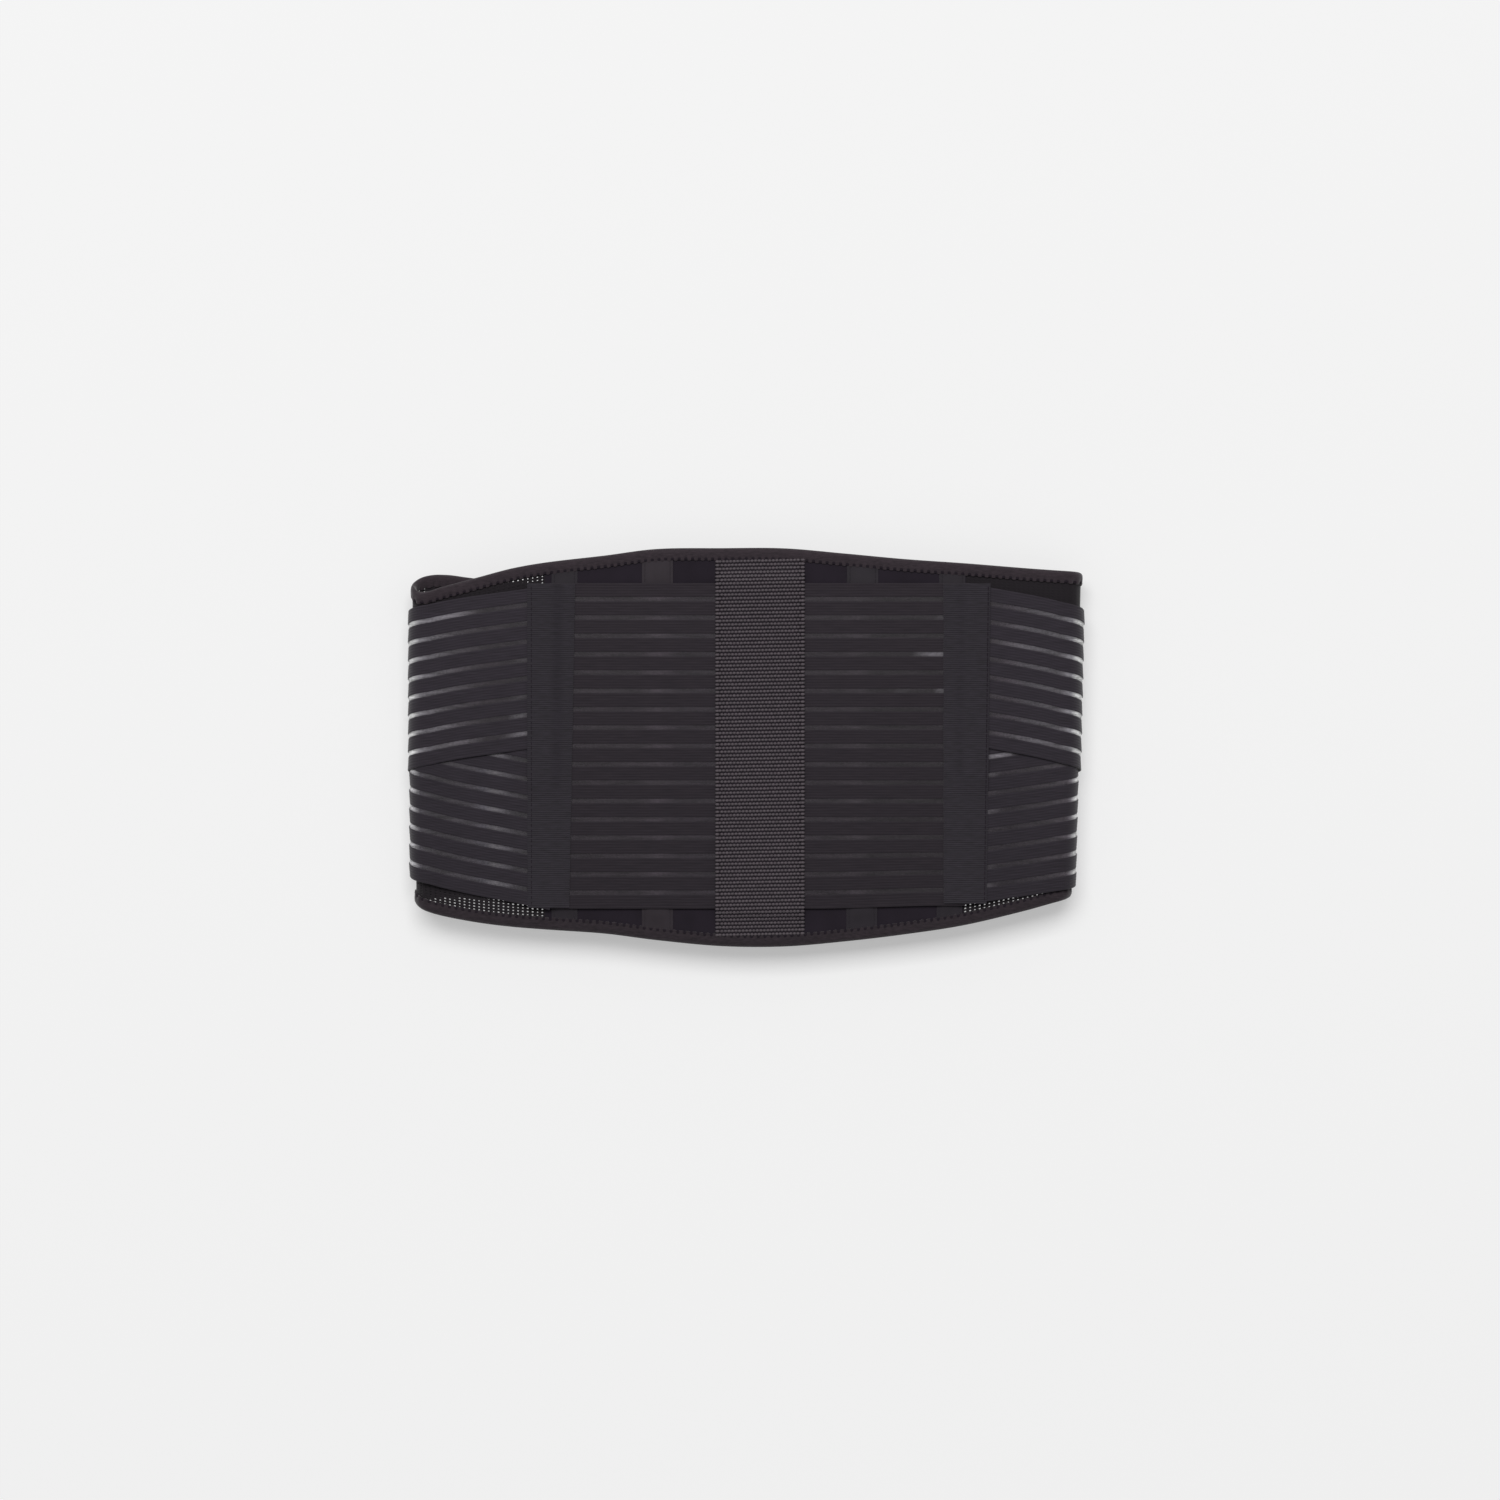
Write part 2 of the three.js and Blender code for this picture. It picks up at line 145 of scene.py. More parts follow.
@lru_cache(maxsize=None)
def body_edges(along):
    """The lower and the upper edge of the belt, on a smooth curve through the table."""
    last = len(BODY_EDGES) - 1
    at = max(0, min(last - 1, sum(row[0] <= along for row in BODY_EDGES) - 1))
    before, start, end, after = (BODY_EDGES[max(0, min(last, at + k))] for k in (-1, 0, 1, 2))
    span = end[0] - start[0]
    share = (along - start[0]) / span
    found = []
    for column in (2, 1):
        leave = (end[column] - before[column]) / (end[0] - before[0]) * span
        arrive = (after[column] - start[column]) / (after[0] - start[0]) * span
        rise = end[column] - start[column]
        bend = 3 * rise - 2 * leave - arrive + share * (leave + arrive - 2 * rise)
        found.append(start[column] + share * (leave + share * bend))
    return found


def padding(along, across):
    """How full the padded panel is: 0 where the binding presses it, 1 in the open."""
    low, high = body_edges(along)
    return smooth(*PADDING_RAMP, min(across - low, high - across))


def finish_piece(bm, name, material, nodes=()):
    """Makes a folded mesh into a piece of the belt, in place of the CAD nodes it stands for."""
    for face in bm.faces:
        face.smooth = True
    mesh = bpy.data.meshes.new(name)
    bm.to_mesh(mesh)
    bm.free()
    mesh.set_sharp_from_angle(angle=SHARP_ANGLE)
    mesh.materials.append(material)
    piece = bpy.data.objects.new(name, mesh)
    bpy.context.scene.collection.objects.link(piece)
    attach(piece, "root")
    if nodes:
        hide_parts(*nodes)
    return piece


def cut_and_fold(columns, rows, place, is_cut=None, hole=0.0, painted_gleam=None):
    """Cuts cloth into columns and rows, gives it two faces and folds it round the belt.

    place(column, row, face) gives the flat point; face is 0 inside and 1 outside. is_cut(column, row)
    says which cells are cut away, whole or, with a hole, but for that share of the cell as its border.
    The last function, given a column and row, gives the strength of a highlight painted on the bare
    threads there, and how bare they are.
    """
    bm = bmesh.new()
    flat = bm.verts.layers.float_vector.new("flat")
    threads = bm.verts.layers.float_vector.new("threads")
    bmesh.ops.create_grid(bm, x_segments=columns, y_segments=rows, size=0.5)
    bmesh.ops.translate(bm, verts=bm.verts, vec=(0.5, 0.5, 0))
    bmesh.ops.scale(bm, verts=bm.verts, vec=(columns, rows, 1))
    if is_cut:
        centres = [(cell, cell.calc_center_median()) for cell in bm.faces]
        gone = [cell for cell, centre in centres if is_cut(int(centre.x), int(centre.y))]
        if hole:
            bmesh.ops.inset_individual(bm, faces=gone, thickness=hole, use_even_offset=True)
        bmesh.ops.delete(bm, geom=gone, context="FACES")
    inside = bm.faces[:]
    outside = bmesh.ops.extrude_face_region(bm, geom=inside, use_keep_orig=True)["geom"]
    outer_verts = [part for part in outside if isinstance(part, bmesh.types.BMVert)]
    bmesh.ops.translate(bm, verts=outer_verts, vec=(0, 0, 1))
    for vert in bm.verts:
        if painted_gleam:
            vert[threads] = *painted_gleam(vert.co.x, vert.co.y), 0.0
        vert[flat] = place(*vert.co)
        vert.co = fold(*vert[flat])
    return bm


def linear(code):
    """An sRGB hex colour as the linear colour that a shader takes."""
    parts = [int(code[k : k + 2], 16) / 255 for k in (1, 3, 5)]
    return [p / 12.92 if p <= 0.04045 else ((p + 0.055) / 1.055) ** 2.4 for p in parts] + [1.0]


def node(tree, kind, inputs=None, to=None, **settings):
    """Adds one shader node, whose first output goes to a socket if one is given.

    Each input is a constant, a socket, or a node whose first output feeds it.
    """
    made = tree.nodes.new(kind)
    for name, value in settings.items():
        setattr(made, name, value)
    for name, value in (inputs or {}).items():
        if isinstance(value, bpy.types.Node):
            value = value.outputs[0]
        if isinstance(value, bpy.types.NodeSocket):
            tree.links.new(value, made.inputs[name])
        else:
            made.inputs[name].default_value = value
    if to is not None:
        tree.links.new(made.outputs[0], to)
    return made


def new_material(name, roughness, ior, sheen):
    """A cloth material with its shader's plain values set, its node tree, and the flat cut's place."""
    material = bpy.data.materials.new(name)
    material.use_nodes = True
    tree = material.node_tree
    shader = tree.nodes["Principled BSDF"]
    shader.inputs["Roughness"].default_value = roughness
    shader.inputs["IOR"].default_value = ior
    shader.inputs["Sheen Weight"].default_value = sheen
    shader.inputs["Sheen Roughness"].default_value = 0.5
    flat = node(tree, "ShaderNodeAttribute", attribute_name="flat").outputs["Vector"]
    return material, tree, shader, flat


def dye(colour, dark, pale, start=0.0, end=1.0):
    """Sets the two shades that a colour ramp runs between."""
    for stop, code, position in zip(colour.color_ramp.elements, (dark, pale), (start, end)):
        stop.color = linear(code)
        stop.position = position


# Polyester jersey, weft knitted: columns of small loops that lean both ways, matt and very dark, with
# a faint purple cast. The loops are drawn at 1.5 mm, about twice their size, so that they show.
JERSEY_WALE, JERSEY_COURSE = 1.5, 1.2
jersey, tree, shader, flat = new_material("polyester jersey knit", 0.9, 1.3, 0.08)
along, across, _ = node(tree, "ShaderNodeSeparateXYZ", {"Vector": flat}).outputs
wale = node(tree, "ShaderNodeMath", {0: along, 1: 2 / JERSEY_WALE}, operation="MULTIPLY")
lean = node(tree, "ShaderNodeMath", {0: wale, 1: 1.0}, operation="PINGPONG")
inputs = {0: across, 1: 1 / JERSEY_COURSE, 2: lean}
course = node(tree, "ShaderNodeMath", inputs, operation="MULTIPLY_ADD")
turns = node(tree, "ShaderNodeMath", {0: course, 1: 2 * math.pi}, operation="MULTIPLY")
loops = node(tree, "ShaderNodeMath", {0: turns}, operation="SINE")
mottle = node(tree, "ShaderNodeTexNoise", {"Vector": flat, "Scale": 0.05, "Detail": 3.0})
shade = node(tree, "ShaderNodeMath", {0: loops, 1: 0.1, 2: mottle}, operation="MULTIPLY_ADD")
colour = node(tree, "ShaderNodeValToRGB", {"Fac": shade}, to=shader.inputs["Base Color"])
dye(colour, "#1a151c", "#2a232d")
relief = {"Height": loops, "Strength": 0.25, "Distance": 0.2 * MM}
node(tree, "ShaderNodeBump", relief, to=shader.inputs["Normal"])


def padded_panel(stations, rows, radius_at=None):
    """A padded panel between two seams, with its cut edges pressed thin."""

    def place(column, row, face):
        along = stations[round(column)]
        low, high = body_edges(along)
        inset = PANEL_CUT + (radius_at(along) if radius_at else 0.0)
        across = mix(low + inset, high - inset, row / rows)
        seam = smooth(*SEAM_RAMP, min(along - stations[0], stations[-1] - along))
        full = padding(along, across) * seam
        ripple = RIPPLE * full * noise.noise((along * RIPPLE_TURNS, across * RIPPLE_TURNS, 0.0))
        return along, across, PADDED / 2 + (face - 0.5) * mix(PRESSED, PADDED, full) + ripple

    return cut_and_fold(len(stations) - 1, rows, place)


def evenly(first, last, step):
    """Places from first to last, evenly spread, about a step apart."""
    count = max(1, round(abs(last - first) / step))
    return [mix(first, last, k / count) for k in range(count + 1)]


back_mesh = padded_panel(evenly(LEFT_SEAM, RIGHT_SEAM, PANEL_STEP), PANEL_ROWS)
back_panel = finish_piece(back_mesh, "back_panel_knit", jersey, ["back_panel"])


# Stay channels. Four woven tapes sewn up and down the back panel, with a springy stay inside each one
# that lifts the middle of the tape. Two rows of lock stitches hold each tape along its edges.
CHANNELS = [  # node, middle, width, darkest and palest shade of its tape
    ("stay_channel_left_outer", -105.5, 15.0, "#1b161c", "#28222a"),
    ("stay_channel_left_inner", -51.5, 18.0, "#221b21", "#322a31"),
    ("stay_channel_right_inner", 67.5, 18.0, "#1b161c", "#28222a"),
    ("stay_channel_right_outer", 119.0, 15.0, "#1b161c", "#28222a"),
]
CHANNEL_TAPE, CHANNEL_SUNK, THREAD_SUNK = 0.5, 0.3, 0.1
CHANNEL_COLUMNS, CHANNEL_ROWS = 12, 80
STAY_RISE = 0.45
STAY_RAMP = (6.0, 18.0)
GROOVE_DEPTH, GROOVE_SHARE = 0.2, 0.1
STITCH_MARGIN = 1.7
STITCH_ENDS, STITCH_SIDES, STITCH_SUNK = 0.35, 0.45, 0.15
CHANNEL_STITCHES = 72
BINDING_WIDTH = 7.0
BINDING_OVERLAP = 1.5

# Polyester twill tape: fine slanting ribs, smoother than the knit round it. The inner tape on the left
# is a little paler than the other three.
TWILL_PITCH = 1.3


def twill_tape(name, dark, pale):
    twill, tree, shader, flat = new_material(f"polyester twill tape of {name}", 0.75, 1.4, 0.15)
    along, across, _ = node(tree, "ShaderNodeSeparateXYZ", {"Vector": flat}).outputs
    slant = node(tree, "ShaderNodeMath", {0: along, 1: across}, operation="ADD")
    inputs = {0: slant, 1: 2 * math.pi / TWILL_PITCH}
    turns = node(tree, "ShaderNodeMath", inputs, operation="MULTIPLY")
    ribs = node(tree, "ShaderNodeMath", {0: turns}, operation="SINE")
    mottle = node(tree, "ShaderNodeTexNoise", {"Vector": flat, "Scale": 0.12, "Detail": 4.0})
    shade = node(tree, "ShaderNodeMath", {0: ribs, 1: 0.03, 2: mottle}, operation="MULTIPLY_ADD")
    colour = node(tree, "ShaderNodeValToRGB", {"Fac": shade}, to=shader.inputs["Base Color"])
    dye(colour, dark, pale)
    relief = {"Height": ribs, "Strength": 0.1, "Distance": 0.15 * MM}
    node(tree, "ShaderNodeBump", relief, to=shader.inputs["Normal"])
    return twill


# Spun polyester sewing thread: two plies twisted together, matt and blacker than the cloth.
thread, tree, shader, flat = new_material("spun polyester sewing thread", 0.85, 1.25, 0.0)
plies = node(tree, "ShaderNodeTexNoise", {"Vector": flat, "Scale": 2.5, "Detail": 2.0})
colour = node(tree, "ShaderNodeValToRGB", {"Fac": plies}, to=shader.inputs["Base Color"])
dye(colour, "#19141a", "#29222a")
relief = {"Height": plies, "Strength": 0.4, "Distance": 0.1 * MM}
node(tree, "ShaderNodeBump", relief, to=shader.inputs["Normal"])


def panel_top(along, across):
    """Height of the back panel's outer face."""
    return PADDED / 2 + mix(PRESSED, PADDED, padding(along, across)) / 2


def sew_stitches(path, count, width=0.5, rise=0.35, length=0.84):
    """A row of lock stitches, each two cells long and two wide, with a cut cell after it.

    path(share) gives a flat point and the sideways direction there.
    """

    def place(column, row, face):
        stitch, step = divmod(round(column), 3)
        share = (stitch + 0.5 + (step - 1) * length / 2) / count
        (along, across, height), (side_along, side_across) = path(share)
        crest = rise * (1.0 if step == 1 else STITCH_ENDS) * (1.0 if row == 1 else STITCH_SIDES)
        off = (row - 1) * width / 2
        height += mix(-STITCH_SUNK, crest, face)
        return along + off * side_along, across + off * side_across, height

    return cut_and_fold(3 * count - 1, 2, place, is_cut=lambda column, row: column % 3 == 2)


def channel_mesh(middle, width):
    """One channel's tape, raised over its stay and drawn in along its two rows of stitches."""

    def place(column, row, face):
        along = middle + width * (column / CHANNEL_COLUMNS - 0.5)
        low, high = body_edges(along)
        end = BINDING_WIDTH - BINDING_OVERLAP
        across = mix(low + end, high - end, row / CHANNEL_ROWS)
        reach = abs(along - middle) / (width / 2 - STITCH_MARGIN)
        from_end = min(across - low, high - across)
        painted_float_light = STAY_RISE * (1 - min(1.0, reach) ** 4) * smooth(*STAY_RAMP, from_end)
        groove = -GROOVE_DEPTH * math.exp(-(((reach - 1.0) / GROOVE_SHARE) ** 2))
        on_panel = panel_top(along, across)
        top = on_panel + CHANNEL_TAPE + painted_float_light + groove
        return along, across, mix(on_panel - CHANNEL_SUNK, top, face)

    return cut_and_fold(CHANNEL_COLUMNS, CHANNEL_ROWS, place)


for name, middle, width, dark, pale in CHANNELS:
    twill = twill_tape(name, dark, pale)
    finish_piece(channel_mesh(middle, width), f"{name}_tape", twill, [name])
    for side in (-1, 1):
        line = middle + side * (width / 2 - STITCH_MARGIN)

        def down_the_edge(share):
            low, high = body_edges(line)
            across = mix(low + BINDING_WIDTH, high - BINDING_WIDTH, share)
            height = panel_top(line, across) + CHANNEL_TAPE - THREAD_SUNK
            return (line, across, height), (-1.0, 0.0)

        stitches = sew_stitches(down_the_edge, CHANNEL_STITCHES)
        edge = "left" if side < 0 else "right"
        finish_piece(stitches, f"{name}_stitches_{edge}", twill)


# Side nets. Open warp-knitted net that turns round each fold, with rows of small oblong holes. It is
# one thin layer, sewn to the back panel on top and to the flap underneath, where the flap's edge backs
# it and its holes are closed. The straps' pull draws the holes shut towards the upper edge.
NET_PITCH_ALONG, NET_PITCH_ACROSS = 2.8, 1.75
NET_HEIGHT = 200.0
NET_BORDER = 0.34
NET_PULLED = (60.0, 85.0)
LEFT_PULLED, RIGHT_PULLED = 0.75, 0.15
NET_UNDER = 34.0
NET_MIDDLE = 1.5
NET_THICK, NET_RIM = 1.0, 0.45
NET_SWAY, SWAY_RAMP = 0.15, (0.0, 4.0)
HOLE_SPREAD = 0.3
LEFT_NET_END = underneath(-1, abs(LEFT_TURN) - NET_UNDER)
RIGHT_NET_END = underneath(1, RIGHT_TURN - NET_UNDER)

# Polyester net yarn: soft filament bundles, matt, with little loops that catch the light.
net_yarn, tree, shader, flat = new_material("warp-knitted polyester net", 0.8, 1.35, 0.15)
strands = node(tree, "ShaderNodeTexNoise", {"Vector": flat, "Scale": 1.6, "Detail": 3.0})
colour = node(tree, "ShaderNodeValToRGB", {"Fac": strands}, to=shader.inputs["Base Color"])
dye(colour, "#110c11", "#201a20")
relief = {"Height": strands, "Strength": 0.6, "Distance": 0.2 * MM}
node(tree, "ShaderNodeBump", relief, to=shader.inputs["Normal"])


def net_mesh(first, last):
    """One net, from its seam on one side of the fold to its seam on the other."""
    pulled_shut = LEFT_PULLED if first < 0 else RIGHT_PULLED
    columns = round((last - first) / NET_PITCH_ALONG)
    rows = round(NET_HEIGHT / NET_PITCH_ACROSS)

    def place(column, row, face):
        thick = NET_THICK
        if abs(column - round(column)) > 0.01:
            thick = NET_RIM
            hole_column, hole_row = int(column) + 0.5, int(row) + 0.5
            height = mix(*body_edges(first), hole_row / rows)
            pulled = mix(1.0, pulled_shut, smooth(*NET_PULLED, height))
            uneven = noise.noise((hole_column * 0.7, hole_row * 0.7, 5.0))
            size = pulled * (1 + HOLE_SPREAD * uneven)
            column = hole_column + size * (column - hole_column)
            row = hole_row + size * (row - hole_row)
        along = mix(first, last, column / columns)
        low, high = body_edges(along)
        across = mix(low + PANEL_CUT, high - PANEL_CUT, row / rows)
        from_seam = min(along - first, last - along)
        sway = NET_SWAY * smooth(*SWAY_RAMP, from_seam)
        along += sway * noise.noise((along * 0.3, across * 0.3, 2.0))
        return along, across, NET_MIDDLE + (face - 0.5) * thick

    def is_open(column, row):
        along = mix(first, last, column / columns)
        return abs(along) < abs(LEFT_TURN if along < 0 else RIGHT_TURN) + HALF_TURN

    return cut_and_fold(columns, rows, place, is_open, NET_BORDER)


left_net = finish_piece(
    net_mesh(LEFT_NET_END, LEFT_SEAM), "side_mesh_left_net", net_yarn, ["side_mesh_left"]
)
right_net = finish_piece(
    net_mesh(RIGHT_SEAM, RIGHT_NET_END), "side_mesh_right_net", net_yarn, ["side_mesh_right"]
)


# Front flaps. Two padded flaps that close the loop underneath, the left one inside the right one,
# with round corners. They are plain: thin foam with a brushed loop face that the hook tabs hold on to.
FLAP_CORNER, CORNER_STEPS = 18.0, 7
FLAP_STEP, FLAP_ROWS = 4.0, 44

# Brushed nylon loop: a short, dense pile that takes the light softly from every side.
loop_pile, tree, shader, flat = new_material("brushed nylon loop pile", 0.95, 1.3, 0.35)
inputs = {"Vector": flat, "Scale": 1.4, "Detail": 5.0, "Roughness": 0.7}
pile = node(tree, "ShaderNodeTexNoise", inputs)
mottle = node(tree, "ShaderNodeTexNoise", {"Vector": flat, "Scale": 0.04, "Detail": 2.0})
shade = node(tree, "ShaderNodeMath", {0: mottle, 1: 0.6, 2: pile}, operation="MULTIPLY_ADD")
colour = node(tree, "ShaderNodeValToRGB", {"Fac": shade}, to=shader.inputs["Base Color"])
dye(colour, "#151216", "#2d282e", start=0.35)
relief = {"Height": pile, "Strength": 0.8, "Distance": 0.5 * MM}
node(tree, "ShaderNodeBump", relief, to=shader.inputs["Normal"])


def corner_steps():
    """Steps round a corner, each as the share of its radius that is still ahead."""
    return [1 - math.sin(math.pi / 2 * k / CORNER_STEPS) for k in range(1, CORNER_STEPS + 1)]


def flap_mesh(side):
    """One flap, from its seam with the net to its round-cornered end."""
    cut_end = (LEFT_END if side < 0 else RIGHT_END) - side * PANEL_CUT
    seam = LEFT_NET_END if side < 0 else RIGHT_NET_END
    radius = FLAP_CORNER - PANEL_CUT
    bends = [cut_end - side * radius * left for left in corner_steps()]
    stations = evenly(seam, cut_end - side * radius, FLAP_STEP) + bends

    def corner(along):
        into = max(0.0, side * (along - cut_end) + radius)
        return radius - math.sqrt(max(0.0, radius**2 - into**2))

    return padded_panel(sorted(stations), FLAP_ROWS, corner)


for name, side in (("front_flap_left", -1), ("front_flap_right", 1)):
    flap = finish_piece(flap_mesh(side), f"{name}_pile", loop_pile, [name])


# Edge binding. One soft knitted tape folded over the whole edge and held by one seam, whose short
# dark stitches draw its inner edge into plump scallops. Its ends meet at the left flap's end.
SCALLOP, SCALLOP_STEPS = 3.9, 5
SCALLOP_IN, SCALLOP_OUT = -0.5, 0.4
SCALLOP_PRESSED, SCALLOP_PLUMP = -0.45, 0.3
SCALLOP_RAMP = (3.0, 7.0)
SEAM_IN, SEAM_HEIGHT = 6.2, 2.75
BINDING_TAPE = 0.6
BINDING_ENDS = 0.15
BINDING_SECTION = [  # in from the folded edge, height of the outer face, the way that face looks
    (7.0, 2.55, 0.0, 1.0),
    (6.2, 2.75, 0.0, 1.0),
    (4.6, 3.0, 0.0, 1.0),
    (3.0, 3.1, 0.05, 1.0),
    (1.6, 2.95, 0.4, 0.9),
    (0.5, 2.4, 0.85, 0.5),
    (0.0, 1.5, 1.0, 0.0),
    (0.5, 0.6, 0.85, -0.5),
    (1.6, 0.05, 0.4, -0.9),
    (3.0, -0.1, 0.05, -1.0),
    (4.6, 0.0, 0.0, -1.0),
    (6.2, 0.25, 0.0, -1.0),
    (7.0, 0.45, 0.0, -1.0),
]

# Knitted binding: a soft, slightly fluffy tape with a warm purple cast, streaked along its length.
# The tape is painted paler along the belt's upper edge than the lower one, as painted light from above.
PAINTED_TOP_LIGHT = 0.0008
binding_knit, tree, shader, flat = new_material("knitted polyester binding", 0.85, 1.35, 0.3)
across = node(tree, "ShaderNodeSeparateXYZ", {"Vector": flat}).outputs["Y"]
drawn_out = node(tree, "ShaderNodeMapping", {"Vector": flat, "Scale": (0.3, 1.1, 1.1)})
inputs = {"Vector": drawn_out, "Scale": 1.0, "Detail": 4.0, "Roughness": 0.65}
fluff = node(tree, "ShaderNodeTexNoise", inputs)
# painted light: the shade rises towards the belt's upper edge
inputs = {0: across, 1: PAINTED_TOP_LIGHT, 2: fluff}
shade = node(tree, "ShaderNodeMath", inputs, operation="MULTIPLY_ADD")
colour = node(tree, "ShaderNodeValToRGB", {"Fac": shade}, to=shader.inputs["Base Color"])
dye(colour, "#1d171c", "#41363d", start=0.2)
relief = {"Height": fluff, "Strength": 0.5, "Distance": 0.3 * MM}
node(tree, "ShaderNodeBump", relief, to=shader.inputs["Normal"])


def binding_path():
    """Points round the belt's edge, a few to each scallop, with the outward direction at each."""
    points = []
    step = SCALLOP / SCALLOP_STEPS
    low, high = body_edges(LEFT_END)
    left, right = LEFT_END + FLAP_CORNER, RIGHT_END - FLAP_CORNER

    def turn_corner(along, across, start):
        for angle in evenly(start, start - math.pi / 2, step / FLAP_CORNER):
            out = Vector((math.cos(angle), math.sin(angle)))
            points.append((Vector((along, across)) + FLAP_CORNER * out, out))

    places = evenly(left, right, step)[1:-1]
    for across in evenly(BINDING_ENDS, high - FLAP_CORNER, step)[:-1]:
        points.append((Vector((LEFT_END, across)), Vector((-1, 0))))
    turn_corner(left, high - FLAP_CORNER, math.pi)
    points += [(Vector((along, body_edges(along)[1])), Vector((0, 1))) for along in places]
    turn_corner(right, high - FLAP_CORNER, math.pi / 2)
    for across in evenly(high - FLAP_CORNER, low + FLAP_CORNER, step)[1:-1]:
        points.append((Vector((RIGHT_END, across)), Vector((1, 0))))
    turn_corner(right, low + FLAP_CORNER, 0.0)
    places.reverse()
    points += [(Vector((along, body_edges(along)[0])), Vector((0, -1))) for along in places]
    turn_corner(left, low + FLAP_CORNER, -math.pi / 2)
    for across in evenly(low + FLAP_CORNER, -BINDING_ENDS, step)[1:]:
        points.append((Vector((LEFT_END, across)), Vector((-1, 0))))
    return points


edge_points = binding_path()


def bind_edge(column, row, face):
    """The binding's section at a point of the edge, drawn in at its tips between two scallops."""
    point, out = edge_points[round(column)]
    inward, height, face_out, face_up = BINDING_SECTION[round(row)]
    scallop = math.sin(math.pi * (round(column) % SCALLOP_STEPS) / SCALLOP_STEPS)
    near_tip = smooth(*SCALLOP_RAMP, inward)
    inward += mix(SCALLOP_IN, SCALLOP_OUT, scallop) * near_tip
    height += mix(SCALLOP_PRESSED, SCALLOP_PLUMP, scallop) * near_tip * face_up
    inward += BINDING_TAPE * face_out * (1 - face)
    place = point - out * inward
    return place.x, place.y, height - BINDING_TAPE * face_up * (1 - face)


binding_mesh = cut_and_fold(len(edge_points) - 1, len(BINDING_SECTION) - 1, bind_edge)
finish_piece(binding_mesh, "edge_binding_knit", binding_knit, ["edge_binding"])


def round_the_edge(share):
    """The seam's path on the binding's outer leg, with a stitch in each dip between two scallops."""
    at = SCALLOP_STEPS * (share * seam_stitches + 0.5)
    before, after = edge_points[int(at)], edge_points[int(at) + 1]
    point = before[0].lerp(after[0], at % 1)
    out = before[1].lerp(after[1], at % 1)
    on_tape = point - out * SEAM_IN
    return (on_tape.x, on_tape.y, SEAM_HEIGHT), out


# The dark stitches in the dips also stand for the shade between the scallops: partly real thread,
# partly painted shade.
seam_stitches = (len(edge_points) - 2) // SCALLOP_STEPS - 1
seam = sew_stitches(round_the_edge, seam_stitches, width=1.3, rise=0.3, length=0.44)
finish_piece(seam, "edge_binding_stitches", thread)


# Back elastic. A wide woven elastic with ribbed bars and sheer windows between them, where only
# clear filament crosses. It lies over the stay channels and is sewn down under the two cover tapes.
BAR, WINDOW = 7.95, 2.7
BAR_PITCH = BAR + WINDOW
BAR_RIBS, RIB_ROWS = 5, 4
BAR_ROWS = BAR_RIBS * RIB_ROWS
ELASTIC_THICK, RIB_RISE = 1.05, 0.22
FILAMENT_PITCH = 0.36
FILAMENT_AT, FILAMENT_THICK, FILAMENT_TUCK = 0.55, 0.12, 0.3
WINDOW_ROWS, EDGE_BARE = 2, 0.5
BACK_BARS, BACK_TOP = 18, 95.0
LEFT_JOIN, RIGHT_JOIN = -114.0, 128.0
BACK_HEIGHT = 4.0
BACK_RIPPLE, BACK_STEP = 0.15, 4.0
CORNER_LIFT = 1.7
LIFT_ALONG, LIFT_DOWN = (40.0, 115.0), (130.0, 189.0)

# Woven elastic: covered rubber threads packed side by side, matt black, crossed by fine weft yarn.
WEFT_PITCH = 0.9


def woven_elastic(name, dark, pale):
    material, tree, shader, flat = new_material(name, 0.8, 1.35, 0.2)
    along, across, _ = node(tree, "ShaderNodeSeparateXYZ", {"Vector": flat}).outputs
    drawn_out = node(tree, "ShaderNodeMapping", {"Vector": flat, "Scale": (0.08, 1.6, 0.0)})
    yarns = node(tree, "ShaderNodeTexNoise", {"Vector": drawn_out, "Scale": 1.0, "Detail": 4.0})
    # painted light: the elastic is painted paler towards the belt's upper edge
    inputs = {0: across, 1: PAINTED_TOP_LIGHT, 2: yarns}
    streaks = node(tree, "ShaderNodeMath", inputs, operation="MULTIPLY_ADD")
    inputs = {0: along, 1: 2 * math.pi / WEFT_PITCH}
    turns = node(tree, "ShaderNodeMath", inputs, operation="MULTIPLY")
    weft = node(tree, "ShaderNodeMath", {0: turns}, operation="SINE")
    shade = node(tree, "ShaderNodeMath", {0: weft, 1: 0.04, 2: streaks}, operation="MULTIPLY_ADD")
    colour = node(tree, "ShaderNodeValToRGB", {"Fac": shade}, to=shader.inputs["Base Color"])
    dye(colour, dark, pale, start=0.25, end=0.8)
    relief = {"Height": shade, "Strength": 0.35, "Distance": 0.2 * MM}
    node(tree, "ShaderNodeBump", relief, to=shader.inputs["Normal"])
    return material


back_weave = woven_elastic("woven ribbed elastic of the back", "#1f1920", "#2e272e")
